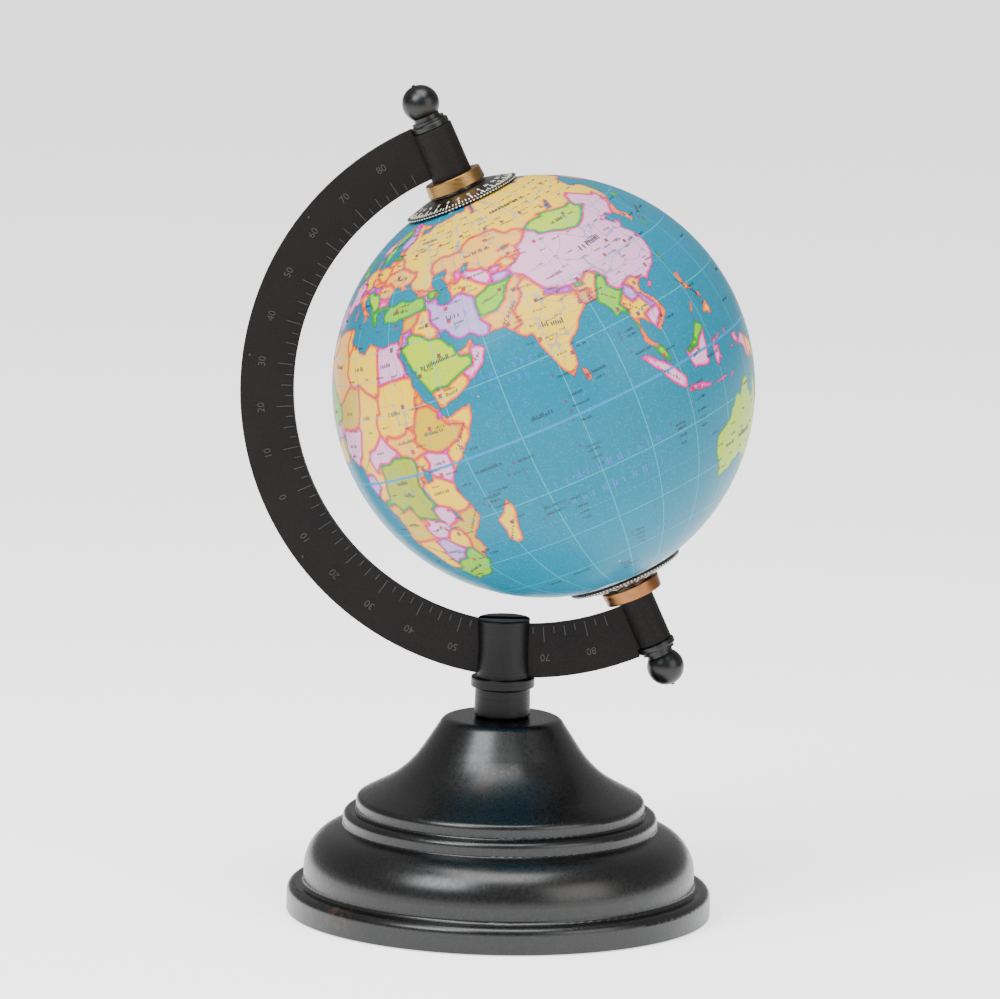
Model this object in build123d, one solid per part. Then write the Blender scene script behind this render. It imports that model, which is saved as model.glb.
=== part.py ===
from build123d import *
import os

# A desktop globe on a turned metal stand.
#
# A hollow globe of two moulded hemispheres turns on a tilted steel axle. The axle is held by a
# half-circle meridian casting with a barrel at each end, and by a ball knob screwed onto each end
# of the axle. An hour dial turns on the axle at each pole. The meridian stands in a slotted post,
# which is bolted onto a spun sheet-metal base, closed from below by a disc and a felt pad.
#
# Millimetres, +Z up. The origin is on the resting face, under the middle of the post. The meridian
# lies in the XZ plane with its open side towards +X, and the axle's north end leans towards -X.

# ---- globe
globe_radius = 63.5
globe_wall = 1.8
axis_tilt = 24.5                # degrees from vertical
joint_ring_height = 12.0        # the hoop inside the seam of the two hemispheres
joint_ring_wall = 1.3
moulding_clearance = 0.05       # between pieces that are glued into one another

# ---- what turns on the axle, from the globe outwards
axle_radius = 2.0
running_clearance = 0.06        # radial, between the axle and what turns on it
turning_gap = 0.1               # axial, between neighbours that turn against each other
bush_radius = 3.7
bush_length = 6.0               # below the globe's surface
bush_flange_radius = 5.5
bush_rise = 0.85                # above the globe's surface
dial_radius = 17.6
dial_flat_radius = 8.6
dial_thickness = 0.5
dial_drop = 2.6                 # how far the dial's rim lies below its middle
washer_radius = 6.0
washer_thickness = 0.4
spacer_radius = 8.7
spacer_flare = 0.4              # the spacer is wider by this towards the globe
spacer_height = 3.9
spacer_round = 0.3

# ---- meridian casting
arc_width = 16.0
arc_thickness = 4.0
arc_setback = 1.6               # from the barrels' inner ends to the arc's inner edge
arc_inset = 4.5                 # from the axle to the middle of the half circle
arc_center_x = 6.3
barrel_length = 15.5
north_barrel_radius = 6.2
south_barrel_radius = 5.3
barrel_round = 0.3

# ---- ball knobs
knob_radius = 5.6
collar_radius = 5.8
collar_height = 2.0
collar_round = 0.5
collar_clearance = 0.2          # radial, where the arc's ends are cut away beside the collar
step_radius = 5.0
step_height = 0.9
neck_radius = 4.0
neck_height = 1.3
pip_radius = 0.55
pip_height = 0.35
thread_depth = 3.6
thread_clearance = 0.03

# ---- base
base_radius = 64.1
base_height = 60.1
base_wall = 1.0
base_top_radius = 17.5
bell_radius = 28.6              # where the bell's flank turns outwards
bell_height = 43.0
lip_radius = 43.6
lip_height = 35.0
step_ring_radius = 47.5
step_ring_height = 30.9
dome_radius = 59.1
dome_foot_height = 26.4         # where the dome starts under the step ring
dome_height = 22.6
rim_height = 8.5
rim_lift = 0.4                  # the felt stands this far out below the rim
backing_thickness = 3.0
backing_clearance = 0.1
felt_thickness = 1.6
felt_margin = 1.5               # from the backing disc's edge to the felt's

# ---- post
post_foot_radius = 8.5
post_stem_radius = 8.3
post_stem_height = 12.4         # from the base to the top of the bead
post_bead_radius = 9.6
post_bead_height = 3.5
post_head_radius = 8.1
post_head_waist = 7.7
post_head_height = 17.9
post_round = 0.6
slot_clearance = 0.05

# ---- fasteners
screw_radius = 2.5
screw_reach = 9.0               # how far the screw goes into the post
screw_head_radius = 4.7
screw_head_height = 3.2
drive_width = 1.2
drive_depth = 1.6
washer_plate_radius = 10.0
washer_plate_thickness = 1.2
spring_washer_radius = 4.4
spring_washer_thickness = 1.3
spring_washer_gap = 0.8
hole_clearance = 0.2
grub_radius = 1.5
grub_length = 4.8
grub_height = 8.0               # above the slot's floor

# ---- heights on the axle, from the globe's middle
bush_top = globe_radius + bush_rise
dial_seat = bush_top + turning_gap
dial_top = dial_seat + dial_thickness
washer_seat = dial_top + turning_gap
spacer_seat = washer_seat + washer_thickness
barrel_inner = spacer_seat + spacer_height
barrel_outer = barrel_inner + barrel_length
ball_drop = (knob_radius**2 - neck_radius**2) ** 0.5
ball_center = barrel_outer + collar_height + step_height + neck_height + ball_drop
axle_half_length = barrel_outer + thread_depth
axle_bore = axle_radius + running_clearance

# ---- heights on the stand, from the resting face
arc_inner_radius = barrel_inner + arc_setback
arc_outer_radius = arc_inner_radius + arc_width
post_bead_top = base_height + post_stem_height
arc_center_z = post_bead_top + arc_outer_radius
post_top = post_bead_top + post_head_height
base_ceiling = base_height - base_wall
base_bore = base_radius - base_wall
globe_frame = Pos(arc_center_x, 0, arc_center_z) * Rot(0, -axis_tilt, 0) * Pos(arc_inset, 0, 0)


def disc(radius, low, high):
    """A cylinder on the Z axis, from one height to another."""
    return Pos(0, 0, (low + high) / 2) * Cylinder(radius, high - low)


def turned(corners):
    """A solid turned about Z from (radius, height, rounding) corners, the first and last on the axis."""
    points = [(r, 0, z) for r, z, _ in corners]
    outline = FilletPolyline(*points, radius=[rounding for _, _, rounding in corners[1:-1]])
    return revolve(make_face(outline + Line(outline @ 1, outline @ 0)), Axis.Z)


def southward(shape):
    """The same piece at the south pole."""
    return Rot(180, 0, 0) * shape


# ---------------------------------------------------------------- globe
def hemisphere():
    ball = Sphere(globe_radius) - Sphere(globe_radius - globe_wall)
    half = ball & disc(globe_radius + 1, 0, globe_radius + 1)
    return half - disc(bush_radius + moulding_clearance, globe_radius / 2, globe_radius + 1)


def equator_joint_ring():
    half_height = joint_ring_height / 2
    seam_radius = globe_radius - globe_wall
    inside = (seam_radius**2 - half_height**2) ** 0.5 - joint_ring_wall
    hoop = Sphere(seam_radius - moulding_clearance) & disc(globe_radius, -half_height, half_height)
    return hoop - disc(inside, -half_height, half_height)


def pole_bush():
    flange = disc(bush_flange_radius, globe_radius - 1, bush_top)
    flange -= Sphere(globe_radius + moulding_clearance)
    sleeve = disc(bush_radius, globe_radius - bush_length, bush_top)
    return flange + sleeve - disc(axle_bore, 0, bush_top + 1)


# ---------------------------------------------------------------- on the axle
def hour_dial():
    rim_top = dial_top - dial_drop
    corners = [
        (0, dial_top, 0),
        (dial_flat_radius, dial_top, 2.0),
        (dial_radius, rim_top, 0.1),
        (dial_radius, rim_top - dial_thickness, 0.1),
        (dial_flat_radius, dial_seat, 1.6),
        (0, dial_seat, 0),
    ]
    return turned(corners) - disc(axle_bore, 0, dial_top + 1)


def axle_washer():
    return disc(washer_radius, washer_seat, spacer_seat) - disc(axle_bore, 0, spacer_seat + 1)


def spacer():
    corners = [
        (0, spacer_seat, 0),
        (spacer_radius + spacer_flare, spacer_seat, spacer_round),
        (spacer_radius, barrel_inner, spacer_round),
        (0, barrel_inner, 0),
    ]
    return turned(corners) - disc(axle_bore, 0, barrel_inner + 1)


def axle_rod():
    rod = disc(axle_radius, -axle_half_length, axle_half_length)
    return chamfer(rod.edges().filter_by(GeomType.CIRCLE), axle_radius / 8)


def ball_knob():
    collar_top = barrel_outer + collar_height
    collar = disc(collar_radius, barrel_outer, collar_top)
    collar = fillet(collar.edges().filter_by(GeomType.CIRCLE), collar_round)
    step = disc(step_radius, collar_top - collar_round, collar_top + step_height)
    neck = disc(neck_radius, collar_top, ball_center)
    ball_top = ball_center + knob_radius
    pip = disc(pip_radius, ball_top - pip_height, ball_top + pip_height)
    knob = collar + step + neck + Pos(0, 0, ball_center) * Sphere(knob_radius) + pip
    return knob - disc(axle_radius + thread_clearance, 0, axle_half_length)


# ---------------------------------------------------------------- meridian
def barrel(radius):
    whole = disc(radius, barrel_inner, barrel_outer)
    return fillet(whole.edges().filter_by(GeomType.CIRCLE), barrel_round)


def meridian_arc():
    """A flat half ring with a straight tongue into a barrel at each of its ends, in the axle's frame."""
    center = Pos(-arc_inset, 0, 0)
    outline = center * (Circle(arc_outer_radius) - Circle(arc_inner_radius))
    outline &= Pos(-arc_inset - arc_outer_radius, 0, 0) * Rectangle(2 * arc_outer_radius, 3 * arc_outer_radius)
    tongue_height = barrel_outer - barrel_round - arc_inner_radius
    for side in (1, -1):
        middle = Pos(-arc_inset / 2, side * (arc_inner_radius + tongue_height / 2), 0)
        outline += middle * Rectangle(arc_inset, tongue_height)
    casting = Rot(90, 0, 0) * extrude(outline, arc_thickness / 2, both=True)
    casting += barrel(north_barrel_radius) + southward(barrel(south_barrel_radius))
    recess = disc(collar_radius + collar_clearance, barrel_outer, arc_outer_radius + 1)
    return casting - recess - southward(recess) - disc(axle_bore, -barrel_outer, barrel_outer)


def arc_grub_screw():
    """The screw in the back of the post's head that clamps the meridian in its slot."""
    screw = disc(grub_radius, 0, grub_length)
    drive = Pos(0, 0, grub_length) * Box(2 * grub_radius, drive_width / 2, drive_width)
    seat = Pos(0, arc_thickness / 2, post_bead_top + grub_height)
    return seat * Rot(-90, 0, 0) * (screw - drive)


# ---------------------------------------------------------------- stand
def base_corners():
    """The outside of the base, from its top's edge to its rim, as (radius, height, rounding)."""
    return [
        (base_top_radius, base_height, 3.4),
        (bell_radius, bell_height, 34.0),
        (lip_radius, lip_height, 2.0),
        (lip_radius, step_ring_height, 0.7),
        (step_ring_radius, step_ring_height, 1.9),
        (step_ring_radius, dome_foot_height, 0.6),
        (dome_radius, dome_height, 13.0),
        (dome_radius, rim_height, 1.2),
        (base_radius, rim_height, 2.4),
    ]


def base_shell():
    top = [(0, base_height, 0)]
    bottom = [(base_radius, rim_lift, 0), (0, rim_lift, 0)]
    outside = turned(top + base_corners() + bottom)
    foot = outside.faces().sort_by(Axis.Z)[0]
    shell = offset(outside, amount=-base_wall, openings=foot)
    return shell - disc(screw_radius + hole_clearance, base_ceiling - 1, base_height + 1)


def base_backing_disc():
    return disc(base_bore - backing_clearance, felt_thickness, felt_thickness + backing_thickness)


def felt_pad():
    return disc(base_bore - backing_clearance - felt_margin, 0, felt_thickness)


def post():
    bead_foot = post_bead_top - post_bead_height
    corners = [
        (0, base_height, 0),
        (post_foot_radius, base_height, 2 * post_round),
        (post_stem_radius, bead_foot, post_round / 2),
        (post_bead_radius, bead_foot + post_round, post_round / 2),
        (post_bead_radius, post_bead_top, post_round / 2),
        (post_head_radius, post_bead_top, post_round / 2),
        (post_head_waist, post_bead_top + post_head_height / 2, 10 * post_head_radius),
        (post_head_radius, post_top, post_round),
        (0, post_top, 0),
    ]
    slot_width = arc_thickness + 2 * slot_clearance
    slot = Pos(0, 0, post_bead_top + post_head_height / 2)
    slot *= Box(3 * post_bead_radius, slot_width, post_head_height)
    reach = base_height + screw_reach
    screw_hole = disc(screw_radius + thread_clearance, base_height - 1, reach)
    grub_hole = Pos(0, 0, post_bead_top + grub_height) * Rot(-90, 0, 0)
    grub_hole *= disc(grub_radius + thread_clearance, 0, 2 * post_head_radius)
    return turned(corners) - slot - screw_hole - grub_hole


def washer_plate():
    plate = disc(washer_plate_radius, base_ceiling - washer_plate_thickness, base_ceiling)
    return plate - disc(screw_radius + hole_clearance, 0, base_height)


def spring_washer():
    top = base_ceiling - washer_plate_thickness
    ring = disc(spring_washer_radius, top - spring_washer_thickness, top)
    ring -= disc(screw_radius + hole_clearance, 0, base_height)
    cut = Box(spring_washer_radius, spring_washer_gap, 2 * spring_washer_thickness)
    return ring - Pos(spring_washer_radius / 2 + screw_radius / 2, 0, top) * Rot(30, 0, 0) * cut


def post_screw():
    head_top = base_ceiling - washer_plate_thickness - spring_washer_thickness
    head = disc(screw_head_radius, head_top - screw_head_height, head_top)
    head = fillet(head.edges().group_by(Axis.Z)[0], screw_head_height / 4)
    shank = disc(screw_radius, head_top - screw_head_height / 2, base_height + screw_reach)
    cross = Box(screw_head_radius, drive_width, 2 * drive_depth)
    cross += Rot(0, 0, 90) * cross
    return head + shank - Pos(0, 0, head_top - screw_head_height) * cross


parts = {
    "north_hemisphere": globe_frame * hemisphere(),
    "south_hemisphere": globe_frame * southward(hemisphere()),
    "equator_joint_ring": globe_frame * equator_joint_ring(),
    "north_pole_bush": globe_frame * pole_bush(),
    "south_pole_bush": globe_frame * southward(pole_bush()),
    "north_hour_dial": globe_frame * hour_dial(),
    "south_hour_dial": globe_frame * southward(hour_dial()),
    "north_washer": globe_frame * axle_washer(),
    "south_washer": globe_frame * southward(axle_washer()),
    "north_spacer": globe_frame * spacer(),
    "south_spacer": globe_frame * southward(spacer()),
    "axle_rod": globe_frame * axle_rod(),
    "north_knob": globe_frame * ball_knob(),
    "south_knob": globe_frame * southward(ball_knob()),
    "meridian_arc": globe_frame * meridian_arc(),
    "arc_grub_screw": arc_grub_screw(),
    "post": post(),
    "base_shell": base_shell(),
    "base_backing_disc": base_backing_disc(),
    "felt_pad": felt_pad(),
    "washer_plate": washer_plate(),
    "spring_washer": spring_washer(),
    "post_screw": post_screw(),
}

os.makedirs("parts", exist_ok=True)
for name, part in parts.items():
    export_step(part, f"parts/{name}.step")
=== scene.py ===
import math
import random

import bmesh
import bpy
from mathutils import Matrix, Vector, kdtree
from mathutils.bvhtree import BVHTree
from mathutils.geometry import delaunay_2d_cdt


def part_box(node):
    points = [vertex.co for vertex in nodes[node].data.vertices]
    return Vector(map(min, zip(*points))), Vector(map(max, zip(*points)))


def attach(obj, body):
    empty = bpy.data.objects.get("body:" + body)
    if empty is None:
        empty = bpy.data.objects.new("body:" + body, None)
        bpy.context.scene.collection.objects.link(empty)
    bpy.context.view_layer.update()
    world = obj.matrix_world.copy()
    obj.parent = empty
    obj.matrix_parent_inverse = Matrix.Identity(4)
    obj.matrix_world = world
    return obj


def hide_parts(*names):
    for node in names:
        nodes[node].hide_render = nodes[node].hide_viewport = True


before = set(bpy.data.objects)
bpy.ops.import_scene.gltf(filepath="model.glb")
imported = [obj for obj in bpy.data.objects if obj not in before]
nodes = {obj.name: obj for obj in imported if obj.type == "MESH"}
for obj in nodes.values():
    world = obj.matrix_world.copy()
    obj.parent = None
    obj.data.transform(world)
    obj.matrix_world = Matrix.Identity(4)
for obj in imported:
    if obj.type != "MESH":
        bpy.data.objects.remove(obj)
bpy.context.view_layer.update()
mm = 0.001

# where things sit, from the frame
ringLow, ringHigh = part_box("equator_joint_ring")
globeMiddle = (ringLow + ringHigh) / 2
globeSize = {"radius": 63.5 * mm, "wall": 1.8 * mm, "tilt": math.radians(24.5)}
axleFrame = Matrix.Translation(globeMiddle) @ Matrix.Rotation(-globeSize["tilt"], 4, "Y")
southFrame = axleFrame @ Matrix.Rotation(math.pi, 4, "X")
print("frame loaded, globe middle", [round(c, 5) for c in globeMiddle])


# colours and nodes
def paint(red, green, blue):
    return tuple((c / 255) ** 2.2 for c in (red, green, blue)) + (1.0,)


def ink(red, green, blue, strength=1.75, depth=.6):
    base = paint(red, green, blue)[:3]
    grey = sum(base) / 3
    return tuple(max(0.0, (grey + (c - grey) * strength) * depth) for c in base) + (1.0,)


def add(tree, kind, inputs=None, **settings):
    made = tree.nodes.new(kind)
    for name, value in settings.items():
        setattr(made, name, value)
    for name, value in (inputs or {}).items():
        if isinstance(value, bpy.types.NodeSocket):
            tree.links.new(value, made.inputs[name])
        else:
            made.inputs[name].default_value = value
    return made


def calc(tree, kind, first, second=0.0, third=0.0):
    return add(tree, "ShaderNodeMath", {0: first, 1: second, 2: third}, operation=kind).outputs[0]


def mixColor(tree, factor, first, second):
    made = add(tree, "ShaderNodeMix", {"Factor": factor}, data_type="RGBA")
    for index, value in ((6, first), (7, second)):
        if isinstance(value, bpy.types.NodeSocket):
            tree.links.new(value, made.inputs[index])
        else:
            made.inputs[index].default_value = value
    return made.outputs[2]


def between(tree, value, low, high, toLow=0.0, toHigh=1.0):
    made = add(tree, "ShaderNodeMapRange", {"Value": value, "From Min": low, "From Max": high,
                                            "To Min": toLow, "To Max": toHigh},
               interpolation_type="SMOOTHSTEP")
    return made.outputs[0]


def newMaterial(name, **shader):
    material = bpy.data.materials.new(name)
    material.use_nodes = True
    tree = material.node_tree
    bsdf = tree.nodes["Principled BSDF"]
    for key, value in shader.items():
        bsdf.inputs[key.replace("_", " ").title().replace("Ior", "IOR")].default_value = value
    return material, tree, bsdf


def finishMaterial(name, look):
    material, tree, bsdf = newMaterial(
        name, metallic=look.get("metallic", 0.0), coat_weight=look.get("coat", 0.0),
        coat_roughness=look.get("coatRoughness", 0.1), specular_ior_level=look.get("specular", 0.5))
    where = add(tree, "ShaderNodeTexCoord").outputs["Object"]
    turned = add(tree, "ShaderNodeMapping", {"Vector": where, "Rotation": (0, look.get("turn", 0.0), 0),
                                             "Scale": look.get("stretch", (1, 1, 1))}).outputs[0]
    broad = add(tree, "ShaderNodeTexNoise", {"Vector": where, "Scale": look.get("broad", 60),
        "Detail": 3}).outputs[0]
    fine = add(tree, "ShaderNodeTexNoise", {"Vector": turned, "Scale": look["grain"],
        "Detail": 4}).outputs[0]
    shade = mixColor(tree, between(tree, broad, .35, .7), look["color"], look["second"])
    shade = mixColor(tree, between(tree, fine, .5, .72, 0, look.get("speck", .25)), shade,
        look.get("third", look["second"]))
    if "patch" in look:
        spot = look["patch"]
        far = add(tree, "ShaderNodeVectorMath", {0: where, 1: spot["at"]},
            operation="DISTANCE").outputs["Value"]
        ragged = add(tree, "ShaderNodeTexNoise", {"Vector": where, "Scale": 420, "Detail": 5}).outputs[0]
        worn = calc(tree, "MULTIPLY", between(tree, far, spot["reach"], spot["reach"] * .3),
                    between(tree, ragged, .5, .62))
        shade = mixColor(tree, worn, shade, spot["color"])
    tree.links.new(shade, bsdf.inputs["Base Color"])
    low, high = look["roughness"]
    tree.links.new(between(tree, fine, .3, .7, low, high), bsdf.inputs["Roughness"])
    bump = add(tree, "ShaderNodeBump", {"Height": fine, "Strength": look.get("bump", .15),
        "Distance": look.get("depth", .0002)})
    tree.links.new(bump.outputs[0], bsdf.inputs["Normal"])
    return material


tiltTurn = globeSize["tilt"]
finishes = {
    "stoveBlack": {"color": paint(13, 12, 12), "second": paint(8, 8, 8), "third": paint(26, 22, 20),
        "grain": 900,
                   "roughness": (.26, .34), "bump": .025, "depth": .0002, "speck": .15, "specular": .5,
                   "patch": {"at": (-.047, -.0436, .006), "reach": .008, "color": paint(52, 32, 22)}},
    "turnedBlack": {"color": paint(12, 10, 9), "second": paint(8, 7, 7), "third": paint(28, 20, 16),
        "grain": 260,
                    "stretch": (.02, .02, 8), "roughness": (.34, .48), "bump": .35, "depth": .0003,
                        "speck": .4, "specular": .22},
    "castBrownBlack": {"color": paint(18, 13, 11), "second": paint(12, 9, 8), "third": paint(32, 22, 17),
        "grain": 1500,
                       "roughness": (.5, .72), "bump": .2, "depth": .0002, "speck": .4, "specular": .2},
    "knobBlack": {"color": paint(11, 11, 11), "second": paint(7, 7, 7), "third": paint(22, 21, 20),
        "grain": 1300,
                  "roughness": (.28, .4), "bump": .08, "specular": .4},
    "spunBrass": {"color": paint(140, 108, 66), "second": paint(120, 90, 52), "third": paint(162, 130, 86),
        "grain": 420,
                  "turn": tiltTurn, "stretch": (.03, .03, 6), "metallic": 1.0, "roughness": (.3, .44),
                      "bump": .05},
    "spunCopper": {"color": paint(140, 96, 62), "second": paint(116, 76, 46), "third": paint(166, 124, 86),
        "grain": 420,
                   "turn": tiltTurn, "stretch": (.03, .03, 6), "metallic": 1.0, "roughness": (.26, .42),
                       "bump": .05, "broad": 180},
    "turnedSteel": {"color": paint(188, 188, 186), "second": paint(160, 160, 160),
        "third": paint(214, 212, 206), "grain": 420,
                    "turn": tiltTurn, "stretch": (.03, .03, 9), "metallic": 1.0, "roughness": (.22, .38),
                        "bump": .1},
    "zincSteel": {"color": paint(176, 178, 180), "second": paint(150, 150, 146),
        "third": paint(206, 200, 182), "grain": 700,
                  "metallic": 1.0, "roughness": (.3, .5), "bump": .12},
    "pressedBoard": {"color": paint(120, 84, 54), "second": paint(98, 66, 40), "third": paint(150, 112, 76),
        "grain": 1600,
                     "roughness": (.6, .85), "bump": .4, "speck": .8},
    "greenFelt": {"color": paint(38, 70, 48), "second": paint(30, 58, 40), "third": paint(66, 98, 72),
        "grain": 2600,
                  "roughness": (.85, 1.0), "bump": .9, "depth": .0004, "speck": .9},
    "whiteNylon": {"color": paint(226, 222, 210), "second": paint(214, 208, 194),
        "third": paint(236, 232, 222), "grain": 900,
                   "roughness": (.35, .5), "bump": .05},
    "strawboard": {"color": paint(196, 178, 142), "second": paint(176, 156, 120),
        "third": paint(214, 198, 166), "grain": 1800,
                   "roughness": (.7, .9), "bump": .3, "speck": .7},
    "scaleInk": {"color": paint(44, 38, 34), "second": paint(34, 30, 27), "third": paint(62, 50, 42),
        "grain": 1600,
                 "roughness": (.45, .62), "bump": .15},
    "dialBlack": {"color": paint(10, 10, 9), "second": paint(15, 14, 13), "third": paint(30, 26, 22),
        "grain": 1500,
                  "roughness": (.28, .42), "bump": .06, "coat": .3, "coatRoughness": .2, "speck": .3},
    "dialCream": {"color": paint(232, 228, 214), "second": paint(216, 208, 188),
        "third": paint(196, 180, 150), "grain": 1700,
                  "roughness": (.4, .6), "bump": .06, "speck": .4},
    "seaInk": {"color": paint(34, 96, 170), "second": paint(28, 84, 156), "third": paint(70, 130, 190),
        "grain": 1500,
               "roughness": (.4, .55), "bump": .05},
    "nameInk": {"color": paint(22, 20, 28), "second": paint(36, 32, 42), "third": paint(14, 14, 18),
        "grain": 1500,
                "roughness": (.4, .55), "bump": .05},
}
finishes = {name: finishMaterial(name, look) for name, look in finishes.items()}
nodeFinish = {
    "stoveBlack": ["base_shell"],
    "turnedBlack": ["post"],
    "castBrownBlack": ["meridian_arc"],
    "knobBlack": ["north_knob", "south_knob"],
    "spunBrass": ["north_spacer"],
    "spunCopper": ["south_spacer"],
    "turnedSteel": ["north_washer", "south_washer", "axle_rod", "arc_grub_screw"],
    "zincSteel": ["washer_plate", "spring_washer", "post_screw"],
    "pressedBoard": ["base_backing_disc"],
    "greenFelt": ["felt_pad"],
    "whiteNylon": ["north_pole_bush", "south_pole_bush"],
    "strawboard": ["equator_joint_ring"],
    "dialBlack": ["north_hour_dial", "south_hour_dial"],
}
for finish, names in nodeFinish.items():
    for name in names:
        for slot in nodes[name].material_slots:
            slot.material = finishes[finish]
print("finishes made and put on", sum(len(names) for names in nodeFinish.values()), "pieces")

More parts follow.
